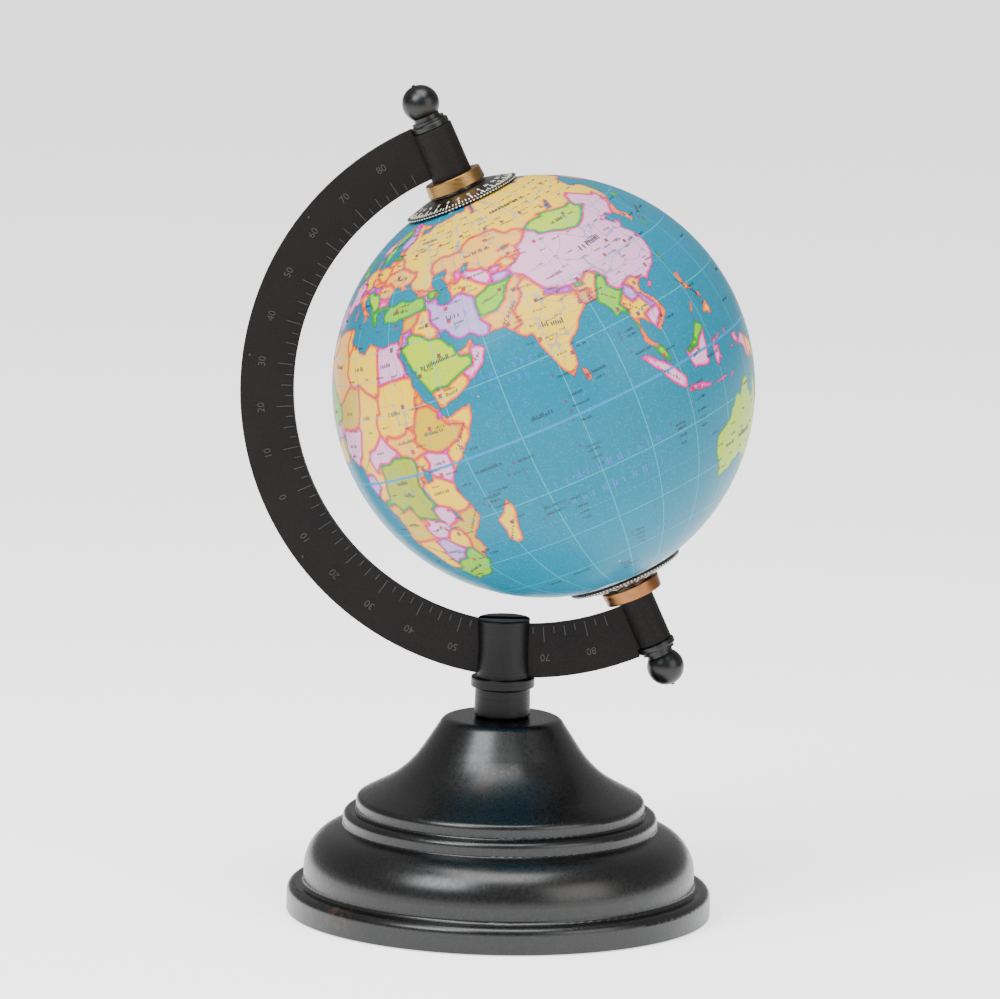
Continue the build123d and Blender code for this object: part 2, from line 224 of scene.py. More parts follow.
# coasts as (longitude, latitude) corners; waters are closed loops inside the land
coasts = {
    "africaAndEurasia": [
        (32.5, 30), (33.6, 27.8), (35.5, 24), (36.9, 22), (37.2, 19.6), (38.5, 18), (39.5, 15.5),
        (41.2, 14.5), (43.1, 12.5), (43.3, 11.5), (44.5, 10.4), (47, 11.2), (51.2, 11.9), (50.8, 9.5),
        (49, 6.5), (48, 4.5), (45.4, 2), (42.5, -.4), (40.2, -2.6), (39.2, -4.7), (38.8, -6.5),
        (39.5, -8.5), (40.4, -10.5), (40.7, -14.5), (38, -17.2), (36, -18.8), (34.8, -19.8),
        (35.4, -21.5), (35.5, -24), (32.7, -25.9), (32.8, -28), (31.3, -29.6), (28.5, -32.8), (25.7, -34),
        (22, -34.1), (20, -34.8), (18.4, -34.2), (18.3, -32.5), (17.2, -30), (15.2, -26.8), (14.5, -22.9),
        (12.2, -18), (12, -15.8), (13.7, -12.5), (13.2, -9), (12.2, -6), (11, -3.8), (8.8, -.7),
        (9.6, 1.5), (9.8, 3.5), (8.8, 4.5), (7, 4.4), (5.5, 5.5), (4.3, 6.4), (1.2, 6), (-2, 4.8),
        (-4.5, 5.2), (-7.6, 4.4), (-9.3, 6), (-11.5, 7), (-13.2, 8.8), (-14.8, 10.8), (-16.8, 12.5),
        (-17.5, 14.7), (-16.3, 18), (-17, 21), (-16, 23.8), (-14.5, 26.2), (-12, 28), (-9.8, 30),
        (-9.2, 32.5), (-6.8, 34.1), (-5.9, 35.8), (-2.9, 35.2), (0, 36), (3.5, 36.9), (7.5, 37),
        (10.2, 37.3), (11.1, 36.2), (10.4, 34.2), (11.2, 33.2), (14.5, 32.6), (16, 31.2), (19, 30.3),
        (20.2, 31.5), (22, 32.9), (25, 31.7), (29, 30.9), (31, 31.5), (32.3, 31.2), (34.2, 31.3),
        (34.9, 32.5), (35.8, 34.5), (36, 36.3), (34.5, 36.8), (32.5, 36.1), (30.5, 36.5), (27.4, 36.9),
        (26.8, 38.4), (26.2, 39.5), (28.6, 40.6), (26.3, 40.7), (24, 40.4), (22.9, 39.4), (24, 38),
        (23, 36.6), (21.5, 37), (21, 38.6), (19.4, 40.6), (19, 42.1), (16.5, 43.4), (14.8, 45),
        (13.3, 45.6), (12.4, 44.5), (14.2, 42.4), (16.2, 41.6), (18.5, 40), (16.6, 40.5), (17.1, 39.2),
        (16, 38.2), (15.7, 40), (14, 40.9), (12.2, 41.8), (10.4, 43.2), (9, 44.3), (7.5, 43.8),
        (5.4, 43.2), (3.2, 43.3), (3.2, 42.2), (.9, 41), (-.3, 39.5), (.1, 38.8), (-.6, 37.8),
        (-2.2, 36.8), (-5.6, 36), (-6.8, 37.1), (-8.8, 37), (-9.4, 38.8), (-8.8, 42), (-8.5, 43.6),
        (-4.5, 43.5), (-1.6, 43.4), (-1.2, 45.5), (-2.3, 47.2), (-4.7, 48.4), (-1.5, 48.7), (-1.6, 49.5),
        (.2, 49.5), (1.6, 50.8), (3.5, 51.4), (4.6, 52.8), (7, 53.5), (8.6, 54), (8.2, 56.8),
        (10.5, 57.6), (9.9, 55), (11, 54.2), (13.8, 54), (16.5, 54.4), (19.5, 54.4), (21, 55.3),
        (21.2, 56.8), (22.5, 57.6), (24.3, 57.3), (23.7, 59.2), (28, 59.6), (30, 59.9), (28.5, 60.4),
        (22.9, 59.9), (21.3, 61), (22.5, 63.2), (25.2, 65.1), (22, 65.6), (19.5, 63.5), (17.2, 61.7),
        (18.8, 60.2), (17.5, 58.8), (16.4, 56.6), (14.2, 55.5), (12.9, 55.6), (12, 57.5), (10.5, 59.2),
        (7.5, 58), (5.5, 59), (5.2, 61.8), (10.5, 64.2), (14, 67.3), (18.5, 69.9), (25.5, 71),
        (30.5, 69.9), (33.5, 69.3), (41, 67.8), (40.8, 66.6), (34.7, 66.5), (36, 64.2), (40, 64.7),
        (42.5, 66.4), (44, 68.4), (46.5, 67.8), (53.5, 68.5), (60.5, 69.9), (64.5, 69.2), (67, 69.7),
        (69.5, 72.5), (72.7, 72.8), (72.5, 69), (72, 66.3), (73.7, 67.5), (74, 72.6), (80.5, 73),
        (87, 75), (98, 76.3), (104.2, 77.7), (107, 76.5), (113.5, 73.6), (127, 73.3), (130, 71),
        (140, 72.6), (152, 70.9), (161, 69.4), (170.5, 69.5), (176, 69.8), (180, 68.8), (180, 65),
        (177.5, 64.7), (179.3, 62.6), (174.5, 61.9), (170.5, 60), (166, 60.2), (163, 58), (162, 55.5),
        (159.5, 53), (156.7, 51.1), (155.7, 56), (158, 58), (161.9, 60.4), (163.8, 62.4), (160, 61.7),
        (155, 59.3), (149, 59.6), (143, 59.3), (139, 57.2), (135.3, 54.7), (137.5, 54), (141.3, 52.8),
        (140.4, 50.5), (138.5, 47), (135.5, 44.5), (131.9, 43.1), (129.7, 41.2), (127.5, 39.5),
        (129.4, 37), (129, 35.2), (126.4, 34.5), (126.5, 36.5), (125.2, 37.8), (124.3, 39.8), (121.8, 39),
        (121.5, 40.6), (120, 40.1), (117.8, 39), (119, 37.3), (122.4, 37.2), (119.3, 35), (120.5, 33.5),
        (121.8, 30.9), (121.5, 28.2), (119.5, 25.3), (117, 23.5), (114.3, 22.4), (112, 21.7),
        (110.4, 20.4), (109, 21.5), (107, 20.9), (105.8, 19.3), (106.5, 17.9), (108.2, 16.2), (109, 13.8),
        (109.2, 11.8), (106.8, 10.4), (104.8, 8.7), (103, 11), (101.5, 12.7), (100.2, 13.4), (99.5, 11.5),
        (99.9, 9.2), (101, 6.9), (103, 5.2), (103.5, 3.5), (103.6, 1.35), (101.4, 2.9), (100.4, 5),
        (99.8, 6.5), (98.3, 8), (98.5, 10), (98.6, 13), (97.6, 16), (96.5, 16.6), (94.4, 16), (94, 18.8),
        (92.4, 20.8), (91.8, 22.4), (90.5, 22.2), (88.3, 21.7), (87, 20.8), (85, 19.5), (82.4, 16.8),
        (80.3, 15.6), (80.2, 13.2), (79.8, 10.4), (78.3, 9), (77.5, 8.1), (76.3, 9.8), (74.8, 13),
        (73.5, 16), (72.8, 19), (72.3, 21.2), (70.5, 20.8), (69, 22.4), (67.5, 23.9), (66.5, 25.3),
        (61.6, 25.2), (58.8, 25.6), (57, 27.1), (54.5, 26.6), (51.5, 27.9), (50, 30.1), (48, 30),
        (48.5, 28.5), (50.2, 26.4), (51.3, 26), (51.8, 24.1), (54.8, 24.6), (56.4, 26.2), (57, 24.2),
        (59.8, 22.5), (57.8, 19), (55, 17.2), (52, 15.6), (48.5, 14), (45, 12.8), (43.4, 12.9),
        (42.6, 16), (41, 18.5), (39.2, 21), (38.8, 22.5), (37, 25), (35, 28), (34.9, 29.4), (34.3, 27.8),
        (33.2, 28.5)],
    "blackSea": [
        (28, 42.4), (28, 43.3), (29.6, 45.2), (31, 46.5), (33, 46), (33.6, 44.6), (36.5, 45.2),
        (35, 46.2), (38.5, 47.1), (37.5, 45.4), (39, 44), (41.5, 42.2), (41.2, 41.4), (38.5, 40.9),
        (35.2, 42), (31.5, 41.3), (29.2, 41.2)],
    "caspian": [
        (47.2, 44), (47.6, 45.6), (49.5, 46.5), (52.9, 46.9), (53, 45.3), (50.8, 44.6), (52.8, 42.5),
        (52.8, 41.2), (53.8, 39.2), (53.9, 37.2), (51, 36.8), (49, 37.6), (49.3, 39.4), (50.2, 40.4),
        (48, 42.5)],
    "aral": [(58.5, 44.3), (60.5, 46.5), (61.8, 46.3), (60.8, 44.2), (59, 43.6)],
    "victoria": [(31.8, -.5), (33, .4), (34.2, -.4), (33.6, -2.3), (32, -2.5)],
    "tanganyika": [(29.2, -3.4), (29.7, -3.6), (30.2, -6), (31.1, -8.6), (30.5, -8.6), (29.5, -6)],
    "malawiLake": [(34, -9.7), (34.9, -12), (35.2, -14.2), (34.6, -13.8), (34.1, -11.5)],
    "baikal": [(104, 51.5), (107, 52), (109.8, 55.6), (108.8, 55.3), (106, 53)],
    "balkhash": [(74, 46), (76, 46.6), (79, 46.5), (76, 45.8)],
    "madagascar": [
        (49.3, -12.1), (50.3, -15.6), (49.5, -18), (48, -22.5), (47, -25), (45.2, -25.5), (43.5, -23.2),
        (44.3, -20), (44, -17.2), (46.5, -15.6), (48.2, -13.5)],
    "sriLanka": [(79.9, 9.6), (81.3, 8.4), (81.7, 6.8), (80.5, 5.9), (79.9, 7.2)],
    "sumatra": [
        (95.3, 5.6), (97.5, 5.2), (100.2, 2.8), (103.2, .4), (104.3, -1.2), (106, -3), (105.8, -5.8),
        (104.4, -5.8), (101.5, -3.3), (98.8, .9), (96.5, 3.6)],
    "java": [
        (105.2, -6.7), (106.8, -6), (110.8, -6.4), (114.4, -7.7), (114.4, -8.7), (110, -8.1),
        (106.5, -7.4)],
    "borneo": [
        (109.1, 1.8), (109.4, -1), (110.2, -2.9), (114, -3.6), (116.2, -3.7), (117.6, .8), (119, 5.2),
        (116.8, 7), (113.3, 3.4), (111.3, 2.5)],
    "sulawesi": [
        (119.4, -5.5), (119, -3), (120, .6), (123.5, 1), (125.1, 1.6), (123.5, .3), (120.9, -.6),
        (122.9, -1), (121.9, -2.2), (122.6, -4.6), (121.2, -4), (120.5, -5.5)],
    "lesserSundas": [(115.8, -8.4), (119.4, -8.3), (122.8, -8.2), (122, -8.9), (118, -9)],
    "timor": [(123.6, -10.2), (125, -8.9), (127.2, -8.4), (125.4, -9.6)],
    "halmahera": [(127.6, .2), (127.8, 2), (128.6, 1), (128.2, -.8)],
    "seram": [(128, -3.3), (130.6, -3.1), (130, -3.7)],
    "newGuinea": [
        (131, -.9), (134.2, -.8), (135.2, -3.2), (138, -1.7), (141, -2.6), (145.8, -4.9), (147.8, -6.5),
        (150.8, -10.3), (147, -9.4), (144.2, -7.6), (142.8, -9.2), (139, -8), (138.3, -5.6), (134, -3.9),
        (132, -2.8)],
    "newBritain": [(148.4, -5.7), (151, -5.4), (152.3, -4.2), (151.5, -5.9), (149.5, -6.3)],
    "luzon": [(120.6, 18.5), (122.2, 18.4), (121.6, 15.8), (124, 12.7), (120.9, 13.7), (120.2, 16)],
    "samar": [(124.4, 12.5), (125.6, 11.2), (124.9, 10.2), (124.3, 11.3)],
    "negros": [(122, 11.8), (123.5, 10.8), (123, 9.2), (122.3, 10.3)],
    "mindanao": [(122, 7), (123.8, 8.6), (125.6, 9.7), (126.4, 7), (125.4, 5.7), (124, 6.8)],
    "palawan": [(117.2, 8.4), (119.4, 11.2), (119.5, 10.4), (117.6, 8.3)],
    "hainan": [(108.7, 19.3), (110, 20.1), (111, 19.7), (109.6, 18.3)],
    "taiwan": [(120.1, 23), (121.5, 25.2), (121.9, 24.8), (120.9, 22)],
    "kyushu": [(129.8, 33), (131, 33.9), (131.9, 33.2), (131, 31.2), (130.2, 31.4)],
    "honshu": [
        (131, 34.2), (133, 35.5), (136, 35.8), (137, 37.4), (139.5, 38.5), (140, 40.5), (141.4, 41.4),
        (142, 39.5), (141, 37.5), (140.8, 35.7), (138.8, 34.7), (136.5, 34), (135.7, 33.6), (134.8, 34.7)],
    "shikoku": [(132.4, 33.3), (134.3, 34.2), (134.5, 33.7), (133, 32.8)],
    "hokkaido": [(140.2, 42), (141.7, 45.4), (145.3, 43.3), (143.2, 42), (141, 42.4)],
    "sakhalin": [(142, 46), (142, 50.5), (142.6, 54.3), (143.5, 52), (144.5, 49), (143, 47)],
    "australia": [
        (113.6, -22.8), (114.1, -21.8), (116.8, -20.6), (119, -20), (121.8, -18.4), (122.3, -17),
        (124, -16.3), (126.5, -14), (129, -15), (130.8, -12.4), (133, -11.5), (136.8, -12.2),
        (135.8, -15), (139.5, -17.6), (141, -16.5), (141.7, -12.8), (142.5, -10.8), (143.8, -14.4),
        (145.4, -15.5), (146.3, -19), (149.5, -21.5), (152.8, -25), (153.5, -28.5), (152.5, -32.4),
        (150, -37.3), (146.4, -39), (143.8, -38.7), (140.6, -38), (139.5, -36), (138, -35),
        (137.8, -32.8), (135.8, -34.8), (134, -32.7), (131, -31.5), (126, -32.3), (123.8, -33.9),
        (120, -34), (118, -35), (115.1, -34.3), (115.7, -31.8), (114.2, -28), (113.3, -26)],
    "tasmania": [(144.7, -40.8), (148.2, -40.9), (147.8, -43.2), (146, -43.4)],
    "northNewZealand": [
        (172.7, -34.4), (175.5, -36.8), (178.5, -37.7), (176.9, -39.6), (175.2, -41.6), (173.8, -39.3),
        (174.8, -37.8)],
    "southNewZealand": [
        (172.7, -40.6), (174.3, -41.8), (172.8, -43.8), (170.5, -45.9), (168.5, -46.6), (166.5, -45.9),
        (170.5, -42.9)],
    "britain": [
        (-5.5, 50.1), (1.4, 51.2), (1.6, 52.8), (.2, 53.2), (-1.5, 55), (-2, 57.5), (-4, 57.7),
        (-3.2, 58.6), (-5, 58.5), (-5.8, 56.5), (-4.8, 54.7), (-3, 54), (-4.5, 53), (-5.2, 51.8),
        (-3, 51.4)],
    "ireland": [(-6.2, 52.2), (-6, 54), (-7.3, 55.3), (-10, 54), (-10.2, 51.8)],
    "iceland": [(-22.5, 64), (-24, 65.6), (-20.5, 65.8), (-16, 66.4), (-14, 65), (-18.5, 63.5)],
    "sardinia": [(8.4, 39), (8.4, 40.9), (9.4, 42.9), (9.7, 40.5), (9.4, 39.1)],
    "sicily": [(12.5, 37.9), (15.4, 38.2), (15.1, 36.8)],
    "crete": [(23.6, 35.4), (26.2, 35.3), (24.8, 34.9)],
    "cyprus": [(32.4, 34.9), (34.3, 35.5), (33, 34.6)],
    "novayaZemlya": [(52, 71.5), (55.5, 74.8), (68, 76.8), (60, 74.5), (57, 71)],
    "severnaya": [(95, 79), (100, 81), (105, 79), (100, 78.2)],
    "spitsbergen": [(11, 79), (20, 80), (27, 80), (18, 77)],
    "socotra": [(53.3, 12.7), (54.5, 12.6), (53.9, 12.3)],
    "kerguelen": [(68.8, -48.9), (70.4, -49.2), (69.8, -49.8), (68.9, -49.6)],
    "chukotka": [(-180, 65), (-176, 65.4), (-173, 64.3), (-170, 66), (-175, 67.3), (-180, 68.8)],
    "greenland": [
        (-45, 60), (-51, 63.5), (-54, 67), (-51, 69.5), (-57, 74), (-68, 76), (-72, 78), (-60, 82),
        (-32, 83.4), (-20, 80), (-20, 75), (-25, 71), (-32, 68), (-40, 65)],
    "baffin": [
        (-62, 66.5), (-68, 70), (-80, 73.5), (-90, 73), (-85, 70), (-78, 68), (-73, 65), (-78, 64.3),
        (-65, 62.3)],
    "ellesmere": [(-62, 82.5), (-85, 82), (-90, 78), (-79, 76.3)],
    "victoriaIsland": [(-105, 69), (-117, 69.8), (-117, 73), (-105, 73)],
    "newfoundland": [(-53, 47), (-59, 47.7), (-56, 51.5), (-53.5, 49)],
    "americas": [
        (-168, 65.7), (-162, 66.5), (-166.5, 68.4), (-156.5, 71.3), (-141, 69.7), (-128, 70.3),
        (-115, 68.6), (-108, 68), (-95, 68.5), (-94, 72), (-85, 69.8), (-81.5, 68), (-87, 64.5),
        (-94.5, 60), (-92.5, 57), (-82.5, 55.2), (-80, 51.3), (-79, 54.5), (-77, 58), (-78, 62.4),
        (-70, 61), (-64.5, 60.3), (-60, 55.5), (-56, 52), (-66, 50.2), (-65, 48.5), (-61, 46),
        (-66, 43.8), (-70, 43.7), (-70.2, 41.7), (-74, 40.6), (-76, 37), (-75.6, 35.2), (-81.2, 31.5),
        (-80.1, 26.5), (-81.5, 25.5), (-83, 29.2), (-89.5, 29.5), (-94.5, 29.3), (-97.3, 26), (-97.5, 21),
        (-94.5, 18.2), (-90.5, 21), (-87, 21.4), (-88.5, 16), (-83.5, 15), (-83.5, 11), (-81, 8.9),
        (-77.5, 8.6), (-75.5, 10.8), (-71.5, 12.3), (-68, 11), (-62, 10.6), (-57, 6), (-51.5, 4.2),
        (-50, .5), (-44, -2.5), (-39, -3.5), (-35, -6), (-35, -9), (-39, -13.5), (-39.5, -19),
        (-42, -22.9), (-46.5, -24.2), (-48.6, -27.5), (-53.5, -34), (-58.3, -34.2), (-57, -37.5),
        (-62.2, -39), (-65, -41), (-65.5, -45), (-67.8, -49.8), (-68.5, -52.5), (-66, -54.8),
        (-71.5, -54.2), (-75, -50), (-74, -44), (-73.5, -38), (-71.5, -31), (-70.3, -18.5), (-76, -14),
        (-81.2, -5), (-80, -2), (-78.5, 2), (-77.5, 6.5), (-79.5, 8), (-83, 8.2), (-86, 11), (-91.5, 14),
        (-95, 16), (-101, 17.5), (-105.5, 20.3), (-109, 25.8), (-112.5, 29.5), (-114.8, 31.7),
        (-111.5, 26.5), (-109.8, 23), (-112.3, 26), (-116.5, 31), (-120.6, 34.6), (-124.2, 40.4),
        (-124.5, 47.5), (-130, 54.5), (-136, 58.5), (-146, 60.8), (-152, 59.2), (-158, 56.3),
        (-163, 54.8), (-157.5, 58.7), (-165.5, 62)],
    "superior": [(-92, 46.7), (-88, 48.7), (-84.8, 46.6), (-88, 47)],
    "michigan": [
        (-87.5, 42), (-87, 45.5), (-84, 46), (-81, 45.5), (-82.5, 43.3), (-84, 45.4), (-86.2, 43)],
    "cuba": [(-84.8, 21.9), (-82.5, 23.1), (-77, 21.5), (-74.3, 20.2), (-77.5, 19.9), (-79, 21.5)],
    "hispaniola": [(-74.3, 18.5), (-72.8, 19.9), (-68.4, 18.6), (-71, 17.8)],
}
antarctica = [
    (-180, -78), (-150, -77), (-125, -73.5), (-100, -73), (-75, -72), (-68, -67), (-57, -63.3),
    (-61, -68), (-62, -75), (-35, -78), (-18, -72.5), (0, -70), (20, -70), (50, -67), (60, -67.5),
    (75, -70), (90, -66.5), (115, -66.7), (135, -66.2), (150, -68.5), (168, -72), (166, -77.8), (180, -78)]
borders = [
    [(25, 32.6), (25, 22)], [(24.9, 22), (37.8, 22)],
    [(25, 22.1), (25, 20), (24, 20), (24, 15.7), (22.9, 15.5), (22, 13), (22.5, 11), (24, 8.7), (26.4, 6.6),
     (27.5, 5)],
    [(24.1, 19.5), (15.9, 23.4), (14.2, 22.6), (11.9, 23.5), (9.4, 26.2), (9.9, 28), (9.4, 30.3),
     (11.6, 32.3), (11.7, 33.8)],
    [(9.5, 30.2), (7.6, 33.4), (8.3, 36), (8.6, 37.6)],
    [(12, 23.5), (7.5, 20.9), (4.3, 19.2), (3.2, 19.1), (1.2, 21.1), (-4.8, 25), (-8.7, 27.3), (-8.6, 28.8),
     (-3.7, 30.9), (-1.2, 32.1), (-2.2, 35.8)],
    [(-8.7, 27.5), (-8.7, 26), (-12, 26), (-13, 23), (-13.1, 21.3), (-17.8, 21)],
    [(-4.7, 25), (-6.5, 25), (-5.5, 16), (-9.3, 15.4), (-12.2, 14.8), (-14, 16.6), (-17, 16.1)],
    [(4.3, 19.3), (4.2, 16.8), (3.5, 15.4), (.2, 15), (-2, 14.2), (-5.3, 11.8), (-5.5, 10.2)],
    [(.1, 15), (2, 12.5), (3.6, 11.7), (4.1, 13.5), (8.5, 13), (12.5, 13.5), (13.6, 13.7), (15.5, 16.9),
     (15.9, 20.3), (15.9, 23.5)],
    [(13.6, 13.8), (14.5, 12.5), (13.2, 10), (11.2, 6.8), (8.9, 5.5), (8.6, 4)],
    [(3.6, 11.9), (2.7, 8.5), (2.7, 5.5)], [(.9, 11.2), (.6, 8), (1.2, 5.5)],
    [(-2.9, 11.1), (-2.8, 8), (-3.1, 4.6)], [(-5.5, 10.3), (-2.9, 11), (.9, 11.1), (3.6, 11.8)],
    [(-12.2, 14.9), (-11.4, 12.3), (-8, 10.3), (-5.4, 10.4)], [(-8, 10.4), (-8.3, 7.6), (-7.5, 4)],
    [(-11.4, 12.3), (-15.5, 12.6), (-17.3, 12.6)], [(-8.2, 8.4), (-10.6, 8.5), (-11.9, 6.6)],
    [(14, 13.3), (14.5, 12.6), (15.5, 9.9), (15.5, 7.5), (14.5, 5.5), (16.1, 2.2), (18.6, 4.3), (22.4, 4.1),
     (24.5, 5.1), (27.5, 5)],
    [(15.4, 7.5), (18.6, 8.1), (22.5, 11)], [(9.2, 2.2), (13.3, 2.2), (16.2, 2.2)],
    [(18.6, 4.4), (17.8, .3), (16.2, -2.3), (15.3, -4.4), (13, -4.8), (11.6, -5.2)],
    [(13.3, 2.3), (14.4, -1.3), (12.5, -2.3), (10.6, -4)],
    [(27.4, 5), (29.5, 4.5), (30.9, 3.5), (31.2, 2.2), (29.6, -.8), (29, -2.7), (29.3, -3.6)],
    [(30.8, -8.5), (28.4, -9.2), (28.6, -12.5), (29.8, -13.5), (27.5, -12.2), (24, -11), (22, -11.1),
     (21.8, -7.3), (17.5, -8.1), (16.6, -5.9), (11.8, -6)],
    [(24, -10.9), (24, -13), (22, -13), (22, -16.2), (23.4, -17.6)],
    [(11, -17.3), (14, -17.4), (18.4, -17.4), (23.5, -17.6)],
    [(23.4, -17.7), (21, -18.3), (20.9, -22), (20, -22), (20, -28.4), (17.4, -28.6), (15.8, -28.6)],
    [(20, -24.8), (20.8, -26.8), (22.8, -25.5), (25.6, -25.7), (27, -23.7), (29.4, -22.2), (31.3, -22.4),
     (32, -26), (32.1, -26.9), (33.6, -26.9)],
    [(29.4, -22.2), (27.7, -20.8), (25.3, -17.8), (23.4, -17.6)],
    [(25.3, -17.8), (27, -17.9), (28.9, -16), (30.4, -15.6), (32.8, -16.7), (32.9, -19.5), (31.3, -22.4)],
    [(30.4, -15.6), (30.2, -14.9), (33.2, -14), (33, -11.5), (32.9, -9.4)],
    [(33.2, -14), (34.6, -14.8), (35.3, -17.1), (35.8, -15.8), (35.1, -13.9)],
    [(30.8, -8.5), (32.9, -9.4), (34.1, -9.8)], [(34.8, -11.5), (37.5, -11.7), (41, -10.4)],
    [(33.9, -1), (37.6, -3.3), (39.7, -5)], [(29.6, -1.1), (32.1, -1)],
    [(30.5, -1.1), (30.8, -2.4), (29.4, -3.6)], [(34, -.6), (34, .3), (35, 1.7), (34, 4.2)],
    [(30.9, 3.5), (34, 4.2), (35.9, 4.6), (38, 3.6), (39.6, 3.4), (41.9, 3.9), (45, 5), (48, 8), (44, 9),
     (42.8, 10.9)],
    [(41.9, 4), (41, 2.8), (41, -.9), (42, -2.4)],
    [(43.7, 11.3), (42.9, 10.9), (41.8, 11), (42.4, 12.4), (43.6, 12.8)],
    [(42.3, 12.4), (40, 14.5), (37.9, 14.8), (36.5, 14.3), (36.9, 17), (39.2, 18.2)],
    [(36.5, 14.4), (35, 11.5), (34.1, 10.3), (34.1, 8.5), (33, 7.9), (35.3, 5.2), (35.9, 4.5)],
    [(34.2, 9.6), (32.4, 11), (31, 9.8), (28, 9.4), (25, 10.3), (23.8, 8.9)],
    [(34.1, 31.6), (34.9, 29.2), (35.5, 31.5), (35.7, 32.8), (34.6, 33.2)],
    [(34.7, 29.3), (37.5, 30), (37, 31.5), (39.2, 32.1), (42, 31.1), (44.7, 29.2), (46.6, 29.1),
     (48.8, 28.5)],
    [(35.7, 32.7), (38.8, 33.4), (39.2, 32.1)], [(38.8, 33.4), (41.2, 34.8), (42.4, 37.2)],
    [(46.6, 29), (47.7, 30.1), (48.3, 29.9)],
    [(48.5, 29.6), (47.7, 31), (46, 32.9), (45.6, 34.5), (46, 35.8), (44.8, 37.2), (42.4, 37.2),
     (38.5, 36.8), (36.7, 36.7), (35.6, 35.8)],
    [(44.8, 37.2), (44.3, 39.4), (44.8, 39.7), (43.6, 41), (41, 41.5)],
    [(39.6, 43.6), (43.5, 42.8), (46.5, 41.9), (48.8, 41.8)], [(43.6, 41), (45, 41.3), (46.5, 41.9)],
    [(45, 41.3), (46.5, 38.9)], [(44.8, 39.6), (46.5, 38.9), (48, 39.6), (49.3, 38.4)],
    [(41.6, 16.2), (44.2, 17.4), (47, 17), (52, 19), (53.4, 16)],
    [(52, 19), (55, 20), (55.6, 22), (55.2, 22.7), (52.6, 22.9), (51.6, 24.4)],
    [(55.4, 22.3), (55.8, 24.2), (56.8, 24.8)], [(50.7, 24.7), (51.9, 24.4)],
    [(61.2, 35.6), (60.6, 33.5), (60.9, 29.8), (63, 27.2), (61.6, 24.8)],
    [(53.6, 37.4), (55.5, 38.1), (57.5, 38.2), (61.2, 35.6), (64.5, 36.4), (66.5, 37.4), (68, 37),
     (71.5, 36.9), (73.3, 37.4), (74.9, 37.3)],
    [(60.9, 29.8), (66.3, 30), (69.3, 31.8), (70, 33.6), (71.3, 35), (74.9, 37.3)],
    [(66.5, 37.4), (62.5, 40), (58.5, 42.7), (56, 41.3), (54, 42.3), (52.4, 41.8)],
    [(56, 41.3), (56, 45), (60, 45.6)],
    [(60.2, 44.5), (62, 43.5), (66.1, 43), (68, 41.1), (70.9, 42.2), (74, 43.2), (80.2, 42.1)],
    [(70.9, 42.2), (72.8, 40.8), (70.5, 39.8), (73.7, 39.5)], [(70.5, 39.8), (68, 39.5), (68, 37)],
    [(74.9, 37.3), (73.7, 39.5), (76.5, 40.4), (80.2, 42.1), (80.3, 45), (82.5, 45.2), (85.5, 47.1),
     (87.5, 49.1)],
    [(48.8, 46), (47, 48), (47.5, 50.4), (51, 51.6), (55, 51), (60, 51), (61.5, 53), (65.5, 54.6),
     (71, 54.3), (76.8, 54.3), (80, 50.8), (83.5, 51), (87.5, 49.1), (91, 46.6), (91, 45.2), (95.5, 44.2),
     (100, 42.6), (105, 41.6), (111.9, 43.7), (115.5, 45.5), (119.9, 46.8), (116, 48), (116.7, 49.9)],
    [(87.5, 49.1), (92.5, 50.8), (98, 50.5), (98, 52), (102.3, 51.4), (106, 50.3), (112, 49.4),
     (116.7, 49.9), (119.9, 52.8), (123.5, 53.5), (127.5, 50), (130.9, 47.7), (134.8, 48.4), (133, 45.1),
     (131, 44.9), (130.6, 42), (128, 42), (126, 41), (124, 39.5)],
    [(125.6, 37.9), (128.9, 38.7)],
    [(67.6, 23.4), (71, 24.4), (70, 28), (73, 30), (74.6, 31.8), (74, 33.5), (76, 34.8), (77.8, 35.5),
     (74.9, 37.3)],
    [(77.8, 35.5), (79.2, 32.6), (81, 30.2), (84.5, 28.6), (88.1, 27.9), (91.6, 27.8), (94.5, 29.3),
     (97.3, 28.2)],
    [(81, 30.2), (80.1, 28.8), (84, 27.4), (88.1, 26.4), (88.1, 27.9)],
    [(88.9, 27.9), (89, 26.9), (91.9, 26.8), (91.6, 27.8)],
    [(89, 21.3), (88.1, 24.2), (88.4, 26.4), (89.8, 25.5), (92.3, 25), (91.2, 23.5), (92.4, 22),
     (92.2, 20.6)],
    [(92.4, 22), (93.2, 23), (94.5, 25.2), (97.3, 28.2), (98.8, 25.8), (97.7, 24), (99.3, 22),
     (101.2, 21.5), (100.1, 20.4), (97.6, 18.5), (98.9, 16.3), (98.2, 15), (99.5, 12), (98.2, 9.8)],
    [(101.2, 21.5), (102.1, 22.4), (105.3, 23.3), (108.3, 21.3)],
    [(100.1, 20.4), (101.2, 17.6), (104, 18.2), (104.8, 16.5), (105.6, 14.4), (102.5, 13.8), (102.8, 11.4)],
    [(102.1, 22.4), (104, 20.5), (103.9, 19.3), (106.5, 16.8), (107.5, 14.7), (107.5, 12.4), (106, 11.6),
     (104.3, 10), (103.6, 9.6)],
    [(105.6, 14.4), (107.5, 14.7)], [(99.7, 6.7), (101, 5.8), (102.6, 6.3)],
    [(109.2, 1.9), (110.3, .9), (114, 1.5), (115.7, 3), (118.4, 4.2)], [(141, -2.2), (141, -9.5)],
    [(31, 70.2), (29, 69.2), (28.5, 68.5), (30, 65.7), (31.5, 62.9), (27.6, 60.2)],
    [(29, 69.2), (26, 69.7), (20.6, 69.1), (16, 68), (14, 64.5), (12.3, 61.5), (11.2, 58.6)],
    [(20.6, 69.1), (23.8, 67.5), (24.2, 65)],
    [(28.1, 59.9), (27.5, 57.5), (28.2, 56.1), (31, 54.7), (31.8, 52.1), (34.3, 51.5), (36.5, 50.3),
